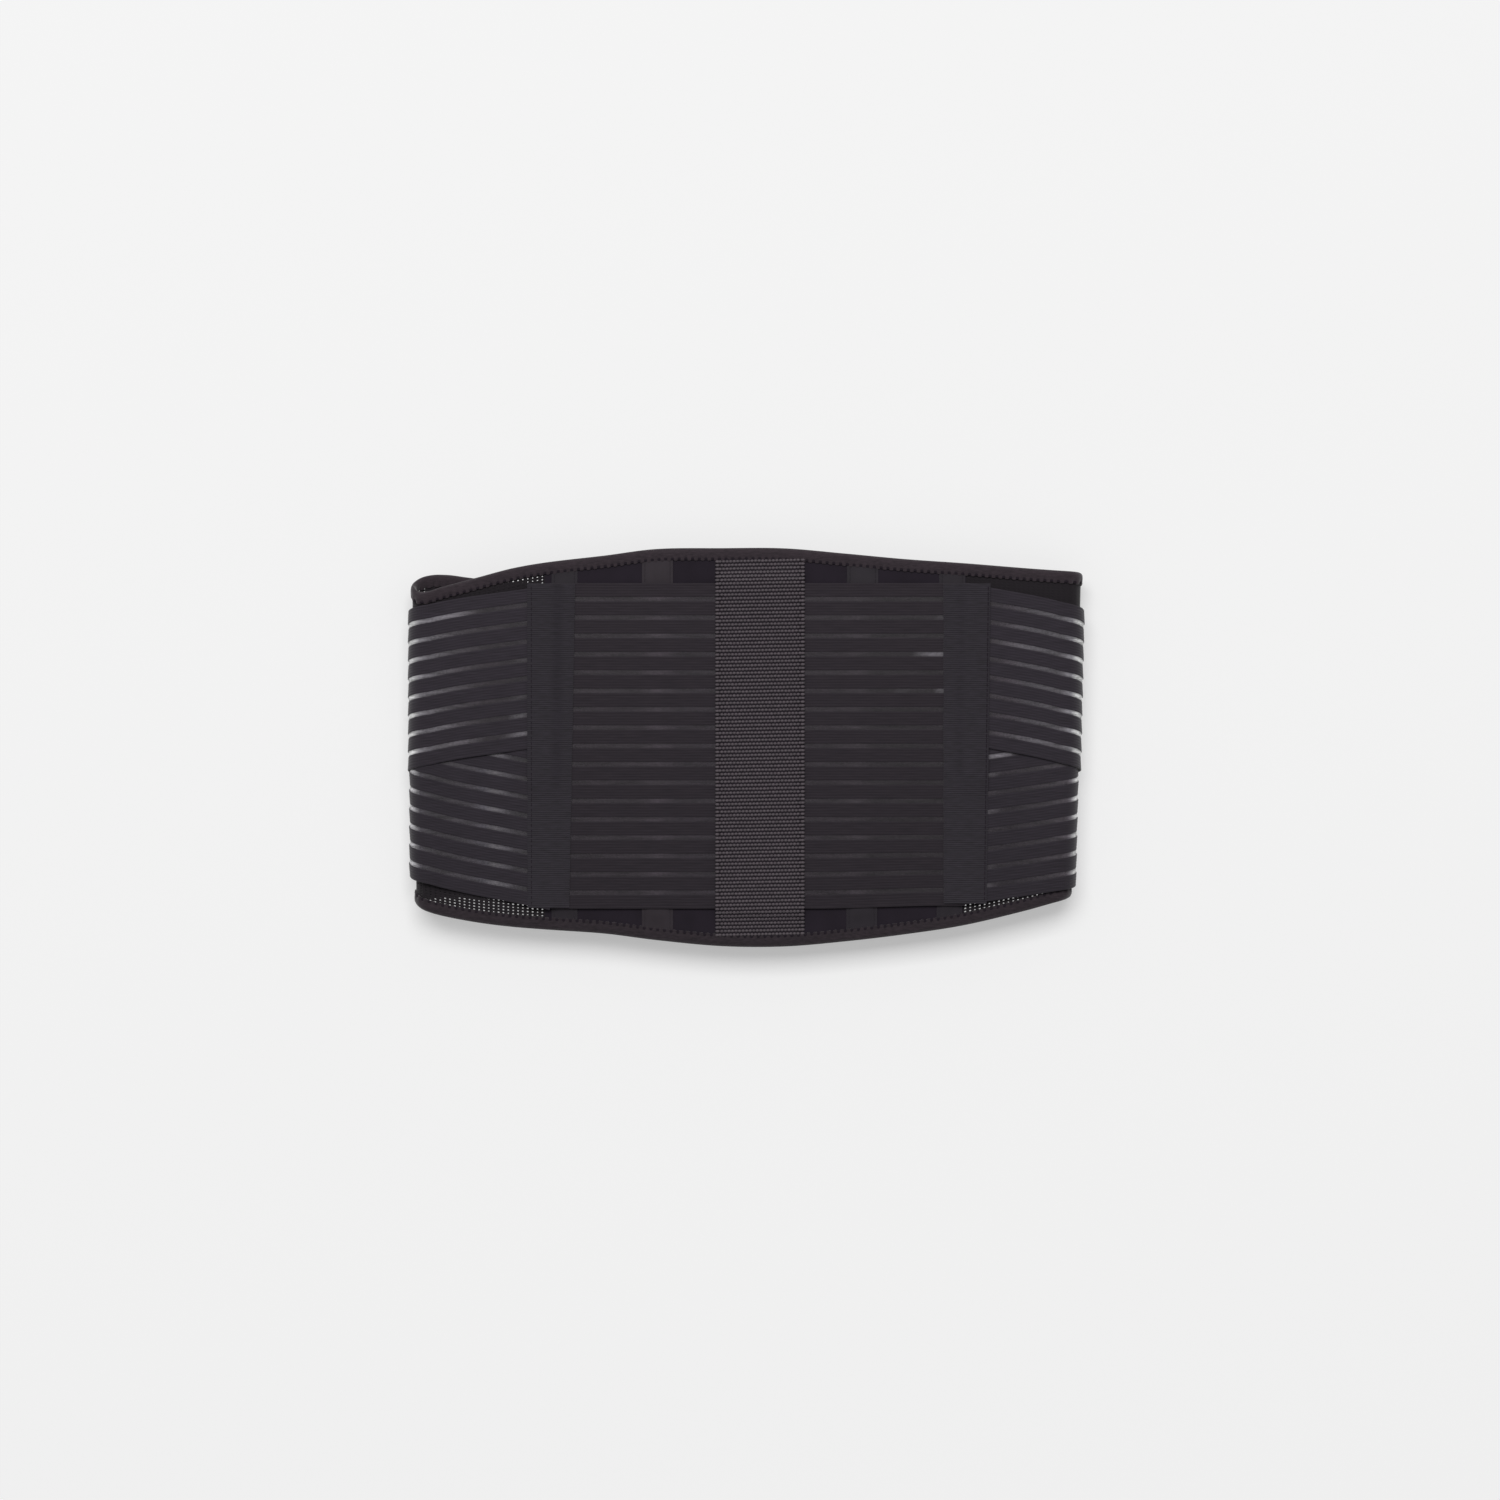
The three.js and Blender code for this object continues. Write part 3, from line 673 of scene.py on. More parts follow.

# Clear nylon filament: fine bare threads side by side across each window. They look grey over the
# dark cloth. Towards the folds they are painted paler, up to white: painted highlights. Round the
# folds they spread and let the floor through, and painted gleams lie on them in places.
FILAMENT_REACH = 200.0
# The gleam colour is a painted highlight, added on the bare threads where the table of gleams puts it.
PAINTED_GLEAM, WINDOW_EDGE = "#7c797f", "#29232a"
UPPER_SHADES = [  # place along the belt, colour of the filaments there, share that they cover
    (-FILAMENT_REACH, "#ffffff", 0.8),
    (-191, "#ffffff", 0.8),  # spread round the fold, floor behind, painted white: painted highlight
    (-188, "#b0adb3", 0.8),
    (-185, "#716d74", 0.9),
    (-178, "#5b575d", 0.9),  # over the net, painted paler towards the fold: painted highlight
    (-166, "#4a444b", 0.9),
    (-152, "#302930", 0.9),
    (-120, "#2a242b", 0.9),  # tight at the cover tape and over the dark panel
    (-90, "#312a31", 0.9),
    (-62, "#312a31", 0.9),
    (-51, "#403840", 0.9),  # over a stay channel
    (-40, "#2f2830", 0.9),
    (54, "#2f282f", 0.9),
    (64, "#383138", 0.9),  # over a stay channel
    (74, "#262026", 0.9),
    (110, "#262026", 0.9),
    (138, "#2e272e", 0.9),
    (152, "#453e46", 0.9),  # over the net, painted paler towards the fold: painted highlight
    (166, "#514d54", 0.9),
    (182, "#5a565c", 0.9),
    (186, "#a19ea5", 0.8),
    (188.5, "#ffffff", 0.8),  # spread round the fold, painted white: painted highlight
    (FILAMENT_REACH, "#ffffff", 0.8),
]
LOWER_SHADES = [
    (-FILAMENT_REACH, "#ffffff", 0.6),
    (-192, "#f0eef2", 0.55),  # spread round the fold, floor behind, painted near white: painted highlight
    (-188, "#625e65", 0.75),
    (-184, "#3f3b41", 0.85),
    (-176, "#3a363b", 0.9),
    (-160, "#443f46", 0.9),
    (-152, "#524e57", 0.9),
    (-146, "#686469", 0.9),  # palest: a painted highlight
    (-141, "#5a565d", 0.9),
    (-135, "#3f3b41", 0.9),
    (-128, "#343035", 0.9),
    (134, "#3a343b", 0.9),
    (146, "#342e35", 0.9),
    (168, "#322c33", 0.9),  # over the dark net
    (178, "#3c363d", 0.9),
    (183, "#484249", 0.9),
    (186, "#5c565d", 0.9),
    (188.4, "#8e8990", 0.85),
    (190.4, "#ffffff", 0.8),  # spread round the fold, painted white: painted highlight
    (FILAMENT_REACH, "#ffffff", 0.8),
]


def filament_material(name, shades):
    """Bare threads coloured along the belt by a table, with painted highlights and gaps between them.
    """
    material, tree, shader, flat = new_material(name, 0.45, 1.4, 0.0)
    along = node(tree, "ShaderNodeSeparateXYZ", {"Vector": flat}).outputs["X"]
    inputs = {0: along, 1: 0.5 / FILAMENT_REACH, 2: 0.5}
    reach = node(tree, "ShaderNodeMath", inputs, operation="MULTIPLY_ADD")
    colour = node(tree, "ShaderNodeValToRGB", {"Fac": reach})
    ramp = colour.color_ramp
    for place, _, _ in shades[1:-1]:
        ramp.elements.new((place / FILAMENT_REACH + 1) / 2)
    for stop, (_, code, cover) in zip(ramp.elements, shades):
        stop.color = linear(code)[:3] + [cover]
    threads = node(tree, "ShaderNodeAttribute", attribute_name="threads").outputs["Vector"]
    painted_gleam, bare, _ = node(tree, "ShaderNodeSeparateXYZ", {"Vector": threads}).outputs
    inputs = {0: bare, 6: linear(WINDOW_EDGE), 7: colour}
    soft_edged = node(tree, "ShaderNodeMix", inputs, data_type="RGBA").outputs[2]
    # painted highlights: the gleam colour added where the table puts it
    inputs = {0: painted_gleam, 1: linear(PAINTED_GLEAM)[:3], 2: soft_edged}
    gleaming = node(tree, "ShaderNodeVectorMath", inputs, operation="MULTIPLY_ADD")
    drawn_out = node(tree, "ShaderNodeMapping", {"Vector": flat, "Scale": (0.05, 0.55, 0.0)})
    inputs = {"Vector": drawn_out, "Scale": 1.0, "Detail": 5.0, "Roughness": 0.62}
    streaks = node(tree, "ShaderNodeTexNoise", inputs)
    specks = node(tree, "ShaderNodeTexNoise", {"Vector": flat, "Scale": 0.7, "Detail": 3.0})
    glints = node(tree, "ShaderNodeMath", {0: specks, 1: 0.5, 2: streaks}, operation="MULTIPLY_ADD")
    inputs = {"Value": glints, "From Min": 0.55, "From Max": 0.95, "To Min": 0.55, "To Max": 1.45}
    light = node(tree, "ShaderNodeMapRange", inputs)
    inputs = {0: gleaming, "Scale": light}
    node(tree, "ShaderNodeVectorMath", inputs, to=shader.inputs["Base Color"], operation="SCALE")
    uneven = node(tree, "ShaderNodeTexNoise", {"Vector": flat, "Scale": 0.8, "Detail": 2.0})
    inputs = {0: uneven, 1: 0.8 * FILAMENT_PITCH, 2: along}
    crowd = node(tree, "ShaderNodeMath", inputs, operation="MULTIPLY_ADD")
    inputs = {0: crowd, 1: 2 * math.pi / FILAMENT_PITCH}
    turns = node(tree, "ShaderNodeMath", inputs, operation="MULTIPLY")
    apart = node(tree, "ShaderNodeMath", {0: turns}, operation="SINE")
    inputs = {"Value": apart, "From Min": -0.9, "From Max": 0.9, "To Min": 0.75, "To Max": 1.1}
    spread = node(tree, "ShaderNodeMapRange", inputs)
    cover = node(
        tree,
        "ShaderNodeMath",
        {0: colour.outputs["Alpha"], 1: spread},
        to=shader.inputs["Alpha"],
        operation="MULTIPLY",
    )
    cover.use_clamp = True
    return material


upper_filament = filament_material("bare nylon filament", UPPER_SHADES)
lower_filament = filament_material("bare nylon filament of the lower straps", LOWER_SHADES)


PAINTED_GLEAMS = {  # band: window counted down from 0, middle of the painted highlight, half length, strength
    "back_elastic": [(1, 114, 5, 0.15), (3, 109.5, 13, 0.62), (5, 114, 6, 0.35), (5, 90, 7, 0.08)],
    "upper_strap_left": [
        (0, -174, 17, 0.6),
        (3, -129, 8, 0.1),
        (5, -131.5, 5, 0.15),
        (6, -131.5, 6, 0.42),
        (6, -177, 8, 0.2),
        (7, -130, 10, 0.5),
        (7, -165, 13, 0.25),
    ],
    "lower_strap_left": [(3, -148, 8, 0.12), (5, -143, 7, 0.08), (7, -144, 9, 0.18)],
    "upper_strap_right": [
        (0, 176, 12, 0.06),
        (1, 162, 18, 0.16),
        (2, 157, 14, 0.36),
        (3, 160, 9, 0.14),
        (7, 162, 20, 0.26),
    ],
    "lower_strap_right": [
        (0, 145.5, 12, 0.85),
        (1, 141, 6, 0.3),
        (3, 141, 5, 0.32),
        (6, 142, 5, 0.08),
        (7, 141, 4, 0.3),
    ],
}


def elastic_meshes(name, stations, bars, lie):
    """The bars and bare windows of one band. lie(along, from_top, in_bar) gives its flat place."""
    width = bars * BAR_PITCH - WINDOW

    def place_bar(column, row, face):
        bar, step = divmod(round(row), BAR_ROWS + 1)
        in_bar = BAR * step / BAR_ROWS
        from_top = width - bar * BAR_PITCH - in_bar
        along, across, height = lie(stations[round(column)], from_top, in_bar - BAR / 2)
        rib = RIB_RISE * abs(math.sin(math.pi * step / RIB_ROWS))
        return along, across, height + face * (ELASTIC_THICK - RIB_RISE + rib)

    def place_window(column, row, face):
        window, step = divmod(round(row), WINDOW_ROWS + 1)
        in_window = mix(-FILAMENT_TUCK, WINDOW + FILAMENT_TUCK, step / WINDOW_ROWS)
        from_top = width - window * BAR_PITCH - BAR - in_window
        along, across, height = lie(stations[round(column)], from_top, (1 - step) * BAR / 2)
        return along, across, height + FILAMENT_AT + face * FILAMENT_THICK

    # The painted highlight on each window's bare threads, from the table of gleams.
    def painted_gleam(column, row):
        window, step = divmod(round(row), WINDOW_ROWS + 1)
        bare = 1.0 if step == 1 else EDGE_BARE
        found = 0.0
        for down, middle, half, gleam in PAINTED_GLEAMS[name]:
            if down == bars - 2 - window:
                off = (stations[round(column)] - middle) / half
                found += gleam * max(0.0, 1 - off * off) * bare
        return found, bare

    bar_mesh = cut_and_fold(
        len(stations) - 1,
        bars * (BAR_ROWS + 1) - 1,
        place_bar,
        is_cut=lambda column, row: row % (BAR_ROWS + 1) == BAR_ROWS,
    )
    window_mesh = cut_and_fold(
        len(stations) - 1,
        (bars - 1) * (WINDOW_ROWS + 1) - 1,
        place_window,
        is_cut=lambda column, row: row % (WINDOW_ROWS + 1) == WINDOW_ROWS,
        painted_gleam=painted_gleam,
    )
    return bar_mesh, window_mesh


def lie_on_back(along, from_top, in_bar):
    """The back elastic lies flat; its lower right corner is sewn down a little high."""
    ripple = BACK_RIPPLE * noise.noise((along * 0.05, from_top * 0.08, 7.0))
    lift = CORNER_LIFT * smooth(*LIFT_ALONG, along) * smooth(*LIFT_DOWN, from_top)
    return along, BACK_TOP - from_top + lift, BACK_HEIGHT + ripple


stations = evenly(LEFT_JOIN, RIGHT_JOIN, BACK_STEP)
bars, windows = elastic_meshes("back_elastic", stations, BACK_BARS, lie_on_back)
back_elastic = finish_piece(bars, "back_elastic_bars", back_weave, ["back_elastic"])
finish_piece(windows, "back_elastic_windows", upper_filament)


# Pull straps. Four bands of like elastic, two to a side. The upper one slants down over the lower
# one, and both go round the fold to a hook tab underneath. They stand a little off the net.
STRAP_BARS = 9
STRAP_END = 90.0
BOW_SHAPE = 27 / 4
TOP_STEP, FOLD_STEP, UNDER_STEP = 4.0, 1.9, 9.0
BAR_TILT, STRAP_RIPPLE = 0.3, 0.12
OVER_THE_TURN, OFF_THE_TAPE = (-22.0, 8.0), (13.0, 34.0)
STRAPS = [  # node, side, upper edge at its start, fall and bow from there, height laid and turned
    ("upper_strap_left", -1, 93.8, 0.18, 1.75, 4.2, 5.8),
    ("lower_strap_left", -1, -1.6, -0.235, -1.85, 2.6, 5.0),
    ("upper_strap_right", 1, 94.9, 0.235, 1.8, 4.2, 5.8),
    ("lower_strap_right", 1, 1.5, -0.16, -0.8, 2.6, 4.5),
]

# The straps' woven elastic: the same ribs and weft as on the back, a little paler and cooler.
strap_weave = woven_elastic("woven ribbed elastic of the straps", "#211c23", "#332d36")


def strap_meshes(name, side, top, fall, bow, laid, turned):
    """One strap, from under its cover tape, round the fold and back to the tab underneath."""
    join = LEFT_JOIN if side < 0 else RIGHT_JOIN
    turn = LEFT_TURN if side < 0 else RIGHT_TURN
    end = underneath(side, STRAP_END)
    stations = evenly(join, turn, TOP_STEP)[:-1]
    stations += evenly(turn, turn + side * HALF_TURN, FOLD_STEP)[:-1]
    stations += evenly(turn + side * HALF_TURN, end, UNDER_STEP)

    def lie(along, from_top, in_bar):
        out = abs(along - join)
        share = min(1.0, out / (abs(turn) + HALF_TURN / 2 - abs(join)))
        across = top - from_top - fall * out + bow * BOW_SHAPE * share * share * (1 - share)
        height = mix(laid, turned, smooth(*OVER_THE_TURN, abs(along) - abs(turn)))
        height += (turned - laid) * (1 - smooth(*OFF_THE_TAPE, out))
        height -= BAR_TILT * fall * in_bar * round_the_fold(along)
        height += STRAP_RIPPLE * noise.noise((along * 0.06, from_top * 0.1, 11.0 + top))
        return along, across, height

    return elastic_meshes(name, sorted(stations), STRAP_BARS, lie)


for name, side, top, fall, bow, laid, turned in STRAPS:
    bars, windows = strap_meshes(name, side, top, fall, bow, laid, turned)
    strap = finish_piece(bars, f"{name}_bars", strap_weave, [name])
    filament = upper_filament if name.startswith("upper") else lower_filament
    finish_piece(windows, f"{name}_windows", filament)


# Cover tapes. A grosgrain tape sewn down each side, over the place where the straps meet the back
# elastic. It steps up over the strap's end, and a row of stitches runs along each of its edges.
COVER_TOP = 94.6
COVER_ENDS = 1.5
COVER_COLUMNS = 16
COVER_RIB, COVER_RIB_RISE = 1.1, 0.2
RIB_STEPS = (0.0, 1.0, 0.75)
COVER_TAPE, COVER_CLEAR = 0.55, 0.15
OVER_LOWER, OVER_UPPER = 0.5, 1.9
HEM_PRESSED, HEM_SHARE = 0.25, 0.07
COVER_WANDER = 0.3
COVER_STITCHES = 62
STRAP_STEP, UPPER_STEP = (-9.0, 0.0), (-32.0, -14.0)
COVERS = [  # node, side, lower end, outer edge, inner edge at top and bottom, margin of the seams
    ("cover_tape_left", -1, -93.5, -126.8, -99.2, -102.6, 2.4),
    ("cover_tape_right", 1, -91.0, 140.6, 113.8, 115.4, 1.3),
]

# Grosgrain: close weft ribs right across the tape, a cooler black than the elastic beside it.
grosgrain, tree, shader, flat = new_material("polyester grosgrain tape", 0.7, 1.4, 0.15)
drawn_out = node(tree, "ShaderNodeMapping", {"Vector": flat, "Scale": (0.15, 1.0, 0.0)})
yarns = node(tree, "ShaderNodeTexNoise", {"Vector": drawn_out, "Scale": 1.0, "Detail": 4.0})
colour = node(tree, "ShaderNodeValToRGB", {"Fac": yarns}, to=shader.inputs["Base Color"])
dye(colour, "#19141b", "#2b252f", start=0.25, end=0.8)
relief = {"Height": yarns, "Strength": 0.4, "Distance": 0.2 * MM}
node(tree, "ShaderNodeBump", relief, to=shader.inputs["Normal"])


def cover_height(side, along, across):
    """Height of the cover tape's underside: on the back elastic, or up over the strap's end."""
    join = LEFT_JOIN if side < 0 else RIGHT_JOIN
    past = side * (along - join)
    over_strap = smooth(*STRAP_STEP, past)
    over_upper = smooth(*UPPER_STEP, across)
    step_up = over_strap * mix(OVER_LOWER, OVER_UPPER, over_upper)
    return BACK_HEIGHT + ELASTIC_THICK + COVER_CLEAR + step_up


def cover_mesh(side, bottom, outer, inner_top, inner_bottom):
    """One cover tape, with ribs right across it and its two edges pressed down."""
    rows = len(RIB_STEPS) * round((COVER_TOP - bottom) / COVER_RIB)

    def place(column, row, face):
        share = column / COVER_COLUMNS
        across = mix(bottom, COVER_TOP, row / rows)
        inner = mix(inner_bottom, inner_top, row / rows)
        along = mix(outer, inner, share) if side < 0 else mix(inner, outer, share)
        along += COVER_WANDER * noise.noise((across * 0.05, side * 4.0, 1.0))
        rib = COVER_RIB_RISE * RIB_STEPS[round(row) % len(RIB_STEPS)]
        hem = HEM_PRESSED * (smooth(0.0, HEM_SHARE, min(share, 1 - share)) - 1)
        return along, across, cover_height(side, along, across) + hem + face * (COVER_TAPE + rib)

    return cut_and_fold(COVER_COLUMNS, rows, place)


for name, side, bottom, outer, inner_top, inner_bottom, margin in COVERS:
    tape = cover_mesh(side, bottom, outer, inner_top, inner_bottom)
    finish_piece(tape, f"{name}_grosgrain", grosgrain, [name])
    for edge in ("outer", "inner"):

        def along_the_tape(share):
            across = mix(bottom + COVER_ENDS, COVER_TOP - COVER_ENDS, share)
            inner = mix(inner_bottom, inner_top, share)
            along = outer - side * margin if edge == "outer" else inner + side * margin
            return (along, across, cover_height(side, along, across) + COVER_TAPE), (-1.0, 0.0)

        stitches = sew_stitches(along_the_tape, COVER_STITCHES, width=0.55, rise=0.3)
        yarn = thread if edge == "outer" else grosgrain
        finish_piece(stitches, f"{name}_stitches_{edge}", yarn)


# Centre webbing. A strip of coarse basket-weave webbing down the middle of the back, over the
# elastic, with its two ends tucked down to the panel at the binding. Its edges are woven selvages.
WEBBING_MIDDLE, WEBBING_WIDTH = 8.1, 50.0
WEBBING_ROW, WEBBING_COLUMN = 2.17, 2.06
WEBBING_COLUMNS = 25
WEBBING_BODY = 0.8
OVER_PANEL, OVER_ELASTIC = 0.1, 0.2
GROUND_COLUMNS, GROUND_ROWS = 10, 60
SELVAGE = 0.35
WEBBING_TUCK, WEBBING_RAMP = 0.5, 8.0
FLOAT_RISE, FLOAT_SUNK, FLOAT_SPREAD = 0.8, 0.2, 0.5
SELVAGE_FLOAT, FLOAT_SHIFT = 1.25, 0.25
ROW_SLANT, ROW_WANDER = 0.02, 0.07

# Bulked polyester yarn: fat soft floats that all but touch along a row and leave darker lines
# between the rows. They are painted mid grey where they face up and darker down their sides: painted
# highlight and painted shade. The ground under them is plain spun thread.
bulked_yarn, tree, shader, flat = new_material("bulked polyester webbing yarn", 0.6, 1.45, 0.3)
drawn_out = node(tree, "ShaderNodeMapping", {"Vector": flat, "Scale": (0.4, 2.5, 0.0)})
fibres = node(tree, "ShaderNodeTexNoise", {"Vector": drawn_out, "Scale": 1.0, "Detail": 4.0})
mottle = node(tree, "ShaderNodeTexNoise", {"Vector": flat, "Scale": 0.5, "Detail": 2.0})
# painted light and shade: floats paler where they face up, darker down their sides
normal = node(tree, "ShaderNodeNewGeometry").outputs["Normal"]
upward = node(tree, "ShaderNodeSeparateXYZ", {"Vector": normal}).outputs["Z"]
inputs = {"Value": upward, "From Min": 0.5, "To Min": -0.5, "To Max": 0.0}
painted_float_light = node(tree, "ShaderNodeMapRange", inputs)
yarns = node(tree, "ShaderNodeMath", {0: mottle, 1: 0.9, 2: fibres}, operation="MULTIPLY_ADD")
shade = node(tree, "ShaderNodeMath", {0: painted_float_light, 1: yarns}, operation="ADD")
colour = node(tree, "ShaderNodeValToRGB", {"Fac": shade}, to=shader.inputs["Base Color"])
dye(colour, "#31292f", "#564d53", start=0.3)
relief = {"Height": fibres, "Strength": 0.5, "Distance": 0.2 * MM}
node(tree, "ShaderNodeBump", relief, to=shader.inputs["Normal"])

webbing_low = body_edges(WEBBING_MIDDLE)[0] + BINDING_WIDTH - WEBBING_TUCK
webbing_high = body_edges(WEBBING_MIDDLE)[1] - BINDING_WIDTH + WEBBING_TUCK
elastic_low = BACK_TOP - BACK_BARS * BAR_PITCH + WINDOW


def webbing_height(along, across):
    """Height of the webbing's underside: over the elastic, and down on the panel at its ends."""
    over = smooth(elastic_low - WEBBING_RAMP, elastic_low, across)
    over -= smooth(BACK_TOP, BACK_TOP + WEBBING_RAMP, across)
    on_panel = panel_top(along, across) + OVER_PANEL
    return mix(on_panel, BACK_HEIGHT + ELASTIC_THICK + OVER_ELASTIC, over)


def webbing_base(column, row, face):
    """The webbing's plain ground, thin at its two selvages."""
    along = WEBBING_MIDDLE + WEBBING_WIDTH * (column / GROUND_COLUMNS - 0.5)
    across = mix(webbing_low, webbing_high, row / GROUND_ROWS)
    edge = SELVAGE if column in (0, GROUND_COLUMNS) else 1.0
    return along, across, webbing_height(along, across) + face * WEBBING_BODY * edge


base = cut_and_fold(GROUND_COLUMNS, GROUND_ROWS, webbing_base)
finish_piece(base, "centre_webbing_ground", thread, ["centre_webbing"])


FLOAT_SHAPE = [  # half width and half height as shares of a cell, and its share of the rise
    (0.46, 0.3, 0.0),
    (0.49, 0.36, 0.4),
    (0.38, 0.25, 0.85),
    (0.17, 0.11, 1.0),
]
FLOAT_CORNER, FLOAT_INSET = 0.29, 0.1
EIGHT_SIDED = 1.08  # from a float's flat sides out to its corners


def webbing_floats():
    """The floats of the weave: a cushion of yarn in each cell, every other row shifted by half."""
    columns = WEBBING_COLUMNS
    rows = round((webbing_high - webbing_low) / WEBBING_ROW)
    bm = bmesh.new()
    flat = bm.verts.layers.float_vector.new("flat")
    bmesh.ops.create_grid(bm, x_segments=columns, y_segments=rows, size=0.5)
    bmesh.ops.translate(bm, verts=bm.verts, vec=(0.5, 0.5, 0))
    bmesh.ops.scale(bm, verts=bm.verts, vec=(columns, rows, 1))
    bmesh.ops.split_edges(bm, edges=bm.edges[:])
    raised = bmesh.ops.extrude_face_region(bm, geom=bm.faces[:], use_keep_orig=True)["geom"]
    raised_verts = [part for part in raised if isinstance(part, bmesh.types.BMVert)]
    bmesh.ops.translate(bm, verts=raised_verts, vec=(0, 0, 1))
    corners = [edge for edge in bm.edges if edge.verts[0].co.z != edge.verts[1].co.z]
    bmesh.ops.bevel(
        bm, geom=corners, offset=FLOAT_CORNER, segments=1, profile=0.5, affect="EDGES", material=-1
    )
    tops = [face for face in bm.faces if min(vert.co.z for vert in face.verts) > 0.9]
    for _ in FLOAT_SHAPE[2:]:
        bmesh.ops.inset_individual(
            bm, faces=tops, thickness=FLOAT_INSET, depth=1.0, use_even_offset=True
        )
    for vert in bm.verts:
        cells = [face.calc_center_median() for face in vert.link_faces]
        middle = sum(cells, Vector()) / len(cells)
        cell_column, cell_row = int(middle.x), int(middle.y)
        half_width, half_height, rise = FLOAT_SHAPE[round(vert.co.z)]
        angle = math.atan2(vert.co.y - cell_row - 0.5, vert.co.x - cell_column - 0.5)
        angle = math.pi / 4 * (math.floor(angle / (math.pi / 4)) + 0.5)
        column = cell_column + 0.5
        if cell_column in (0, columns - 1):
            half_width *= SELVAGE_FLOAT
        else:
            column += FLOAT_SHIFT if cell_row % 2 else -FLOAT_SHIFT
        column += half_width * math.cos(angle) * EIGHT_SIDED
        row = cell_row + 0.5 + half_height * math.sin(angle) * EIGHT_SIDED
        along = WEBBING_MIDDLE + WEBBING_COLUMN * (column - columns / 2)
        across = mix(webbing_low, webbing_high, row / rows) + ROW_SLANT * (along - WEBBING_MIDDLE)
        across += ROW_WANDER * noise.noise((along * 0.1, across * 0.1, 3.0))
        uneven = noise.noise((cell_column * 0.9, cell_row * 0.7, 9.0))
        rise *= FLOAT_RISE * (1 + FLOAT_SPREAD * uneven)
        height = webbing_height(along, across) + WEBBING_BODY - FLOAT_SUNK + rise
        vert[flat] = along, across, height
    for vert in bm.verts:
        vert.co = fold(*vert[flat])
    return bm


finish_piece(webbing_floats(), "centre_webbing_floats", bulked_yarn)


# Hook tabs. A plain tab underneath each side holds the ends of its two straps: a plate over the
# straps and, past their ends, a pad of hook tape that reaches the flap. Its outer face is on the floor.
TAB_OUTER, TAB_INNER, TAB_CORNER = 122.0, 64.0, 9.0
TAB_FACE = 8.5
TAB_PLATE, TAB_PAD = 7.3, 3.3
PLATE_END, PAD_END = STRAP_END + 0.3, STRAP_END - 0.5
TAB_STEP, TAB_ROWS = 4.0, 30
TAB_BEVEL, TAB_BEVEL_RAMP = 0.5, (0.0, 1.5)
TABS = [  # node, side, upper edge, lower edge
    ("strap_tab_left", -1, 65.0, -57.0),
    ("strap_tab_right", 1, 56.0, -66.0),
]


def tab_mesh(side, upper, lower):
    """One tab: a thin plate over the straps' ends and a thick pad past them."""
    distances = evenly(TAB_OUTER, PLATE_END, TAB_STEP)
    distances += evenly(PAD_END, TAB_INNER + TAB_CORNER, TAB_STEP)
    distances += [TAB_INNER + TAB_CORNER * left for left in corner_steps()]
    stations = sorted(underneath(side, distance) for distance in distances)

    def place(column, row, face):
        along = stations[round(column)]
        distance = abs(underneath(side, 0.0)) - abs(along)
        into = max(0.0, TAB_INNER + TAB_CORNER - distance)
        inset = TAB_CORNER - math.sqrt(max(0.0, TAB_CORNER**2 - into**2))
        across = mix(lower + inset, upper - inset, row / TAB_ROWS)
        start = TAB_PAD if distance < STRAP_END else TAB_PLATE
        border = min(upper - across, across - lower, TAB_OUTER - distance, distance - TAB_INNER)
        bevel = TAB_BEVEL * (1 - smooth(*TAB_BEVEL_RAMP, border))
        return along, across, mix(start, TAB_FACE - bevel, face)

    return cut_and_fold(len(stations) - 1, TAB_ROWS, place)


for name, side, upper, lower in TABS:
    tab = finish_piece(tab_mesh(side, upper, lower), f"{name}_pile", loop_pile, [name])


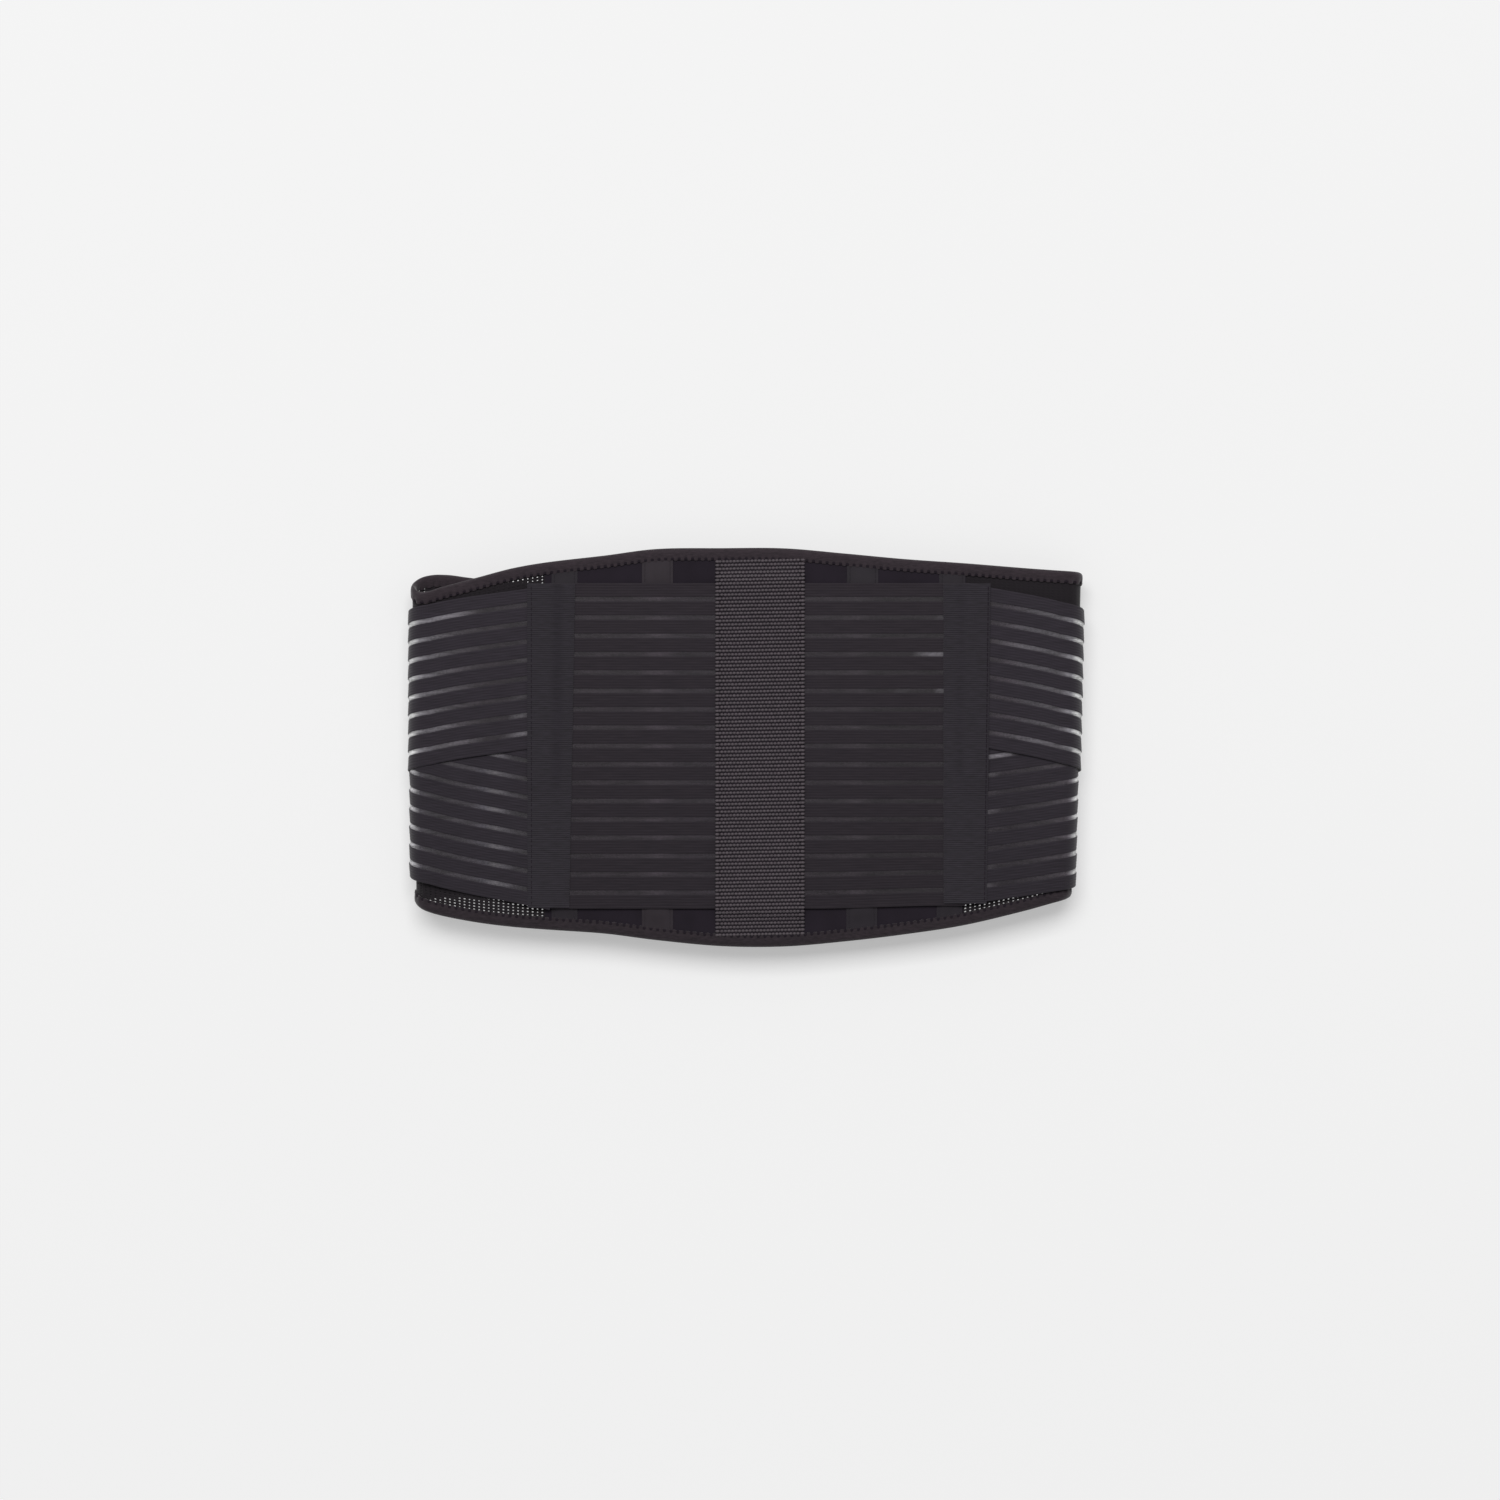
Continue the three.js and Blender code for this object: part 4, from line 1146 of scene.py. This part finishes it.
# Floor, light and camera. The belt lies on a pale, even sweep, under one broad soft light from beyond
# its upper edge and an even glow from all round, seen from straight above. Sizes are in metres.
FLOOR_HALF = 6.0
LIGHT_PLACE, LIGHT_WIDTH, LIGHT_DEPTH = (-0.7, 4.5, 8.7), 8.0, 4.5
VIEW_MIDDLE, VIEW_PLANE, VIEW_WIDTH = (0.0023, -0.0019), 0.028, 0.870

# Matt white paper: it has no gloss, and a glow of its own stands for the light that it spreads.
floor_mesh = bmesh.new()
bmesh.ops.create_grid(floor_mesh, x_segments=1, y_segments=1, size=FLOOR_HALF)
floor_paper = bpy.data.materials.new("matt white paper")
floor_paper.use_nodes = True
floor_shader = floor_paper.node_tree.nodes["Principled BSDF"]
floor_shader.inputs["Base Color"].default_value = linear("#d4d4d4")
floor_shader.inputs["Roughness"].default_value = 0.9
floor_shader.inputs["Specular IOR Level"].default_value = 0.0
floor_shader.inputs["Emission Color"].default_value = linear("#ffffff")
floor_shader.inputs["Emission Strength"].default_value = 0.36
mesh = bpy.data.meshes.new("floor")
floor_mesh.to_mesh(mesh)
floor_mesh.free()
mesh.materials.append(floor_paper)
floor = bpy.data.objects.new("floor", mesh)
bpy.context.scene.collection.objects.link(floor)

world = bpy.data.worlds.new("even white room")
bpy.context.scene.world = world
world.use_nodes = True
world.node_tree.nodes["Background"].inputs["Color"].default_value = linear("#ffffff")
world.node_tree.nodes["Background"].inputs["Strength"].default_value = 0.26

soft_light = bpy.data.lights.new("soft light beyond the upper edge", "AREA")
soft_light.shape = "RECTANGLE"
soft_light.size, soft_light.size_y = LIGHT_WIDTH, LIGHT_DEPTH
soft_light.energy = 665.0
lamp = bpy.data.objects.new("soft light beyond the upper edge", soft_light)
lamp.location = LIGHT_PLACE
lamp.rotation_mode = "QUATERNION"
lamp.rotation_quaternion = (-lamp.location).to_track_quat("-Z", "Y")
bpy.context.scene.collection.objects.link(lamp)

camera = bpy.data.objects.new("camera", bpy.data.cameras.new("camera"))
camera.data.lens = 85.0
camera.data.sensor_width = 36.0
view_distance = VIEW_WIDTH * camera.data.lens / camera.data.sensor_width
camera.location = (*VIEW_MIDDLE, VIEW_PLANE + view_distance)
camera.rotation_euler = (0, 0, 0)
bpy.context.scene.collection.objects.link(camera)
bpy.context.scene.camera = camera
bpy.context.scene.view_settings.view_transform = "Standard"
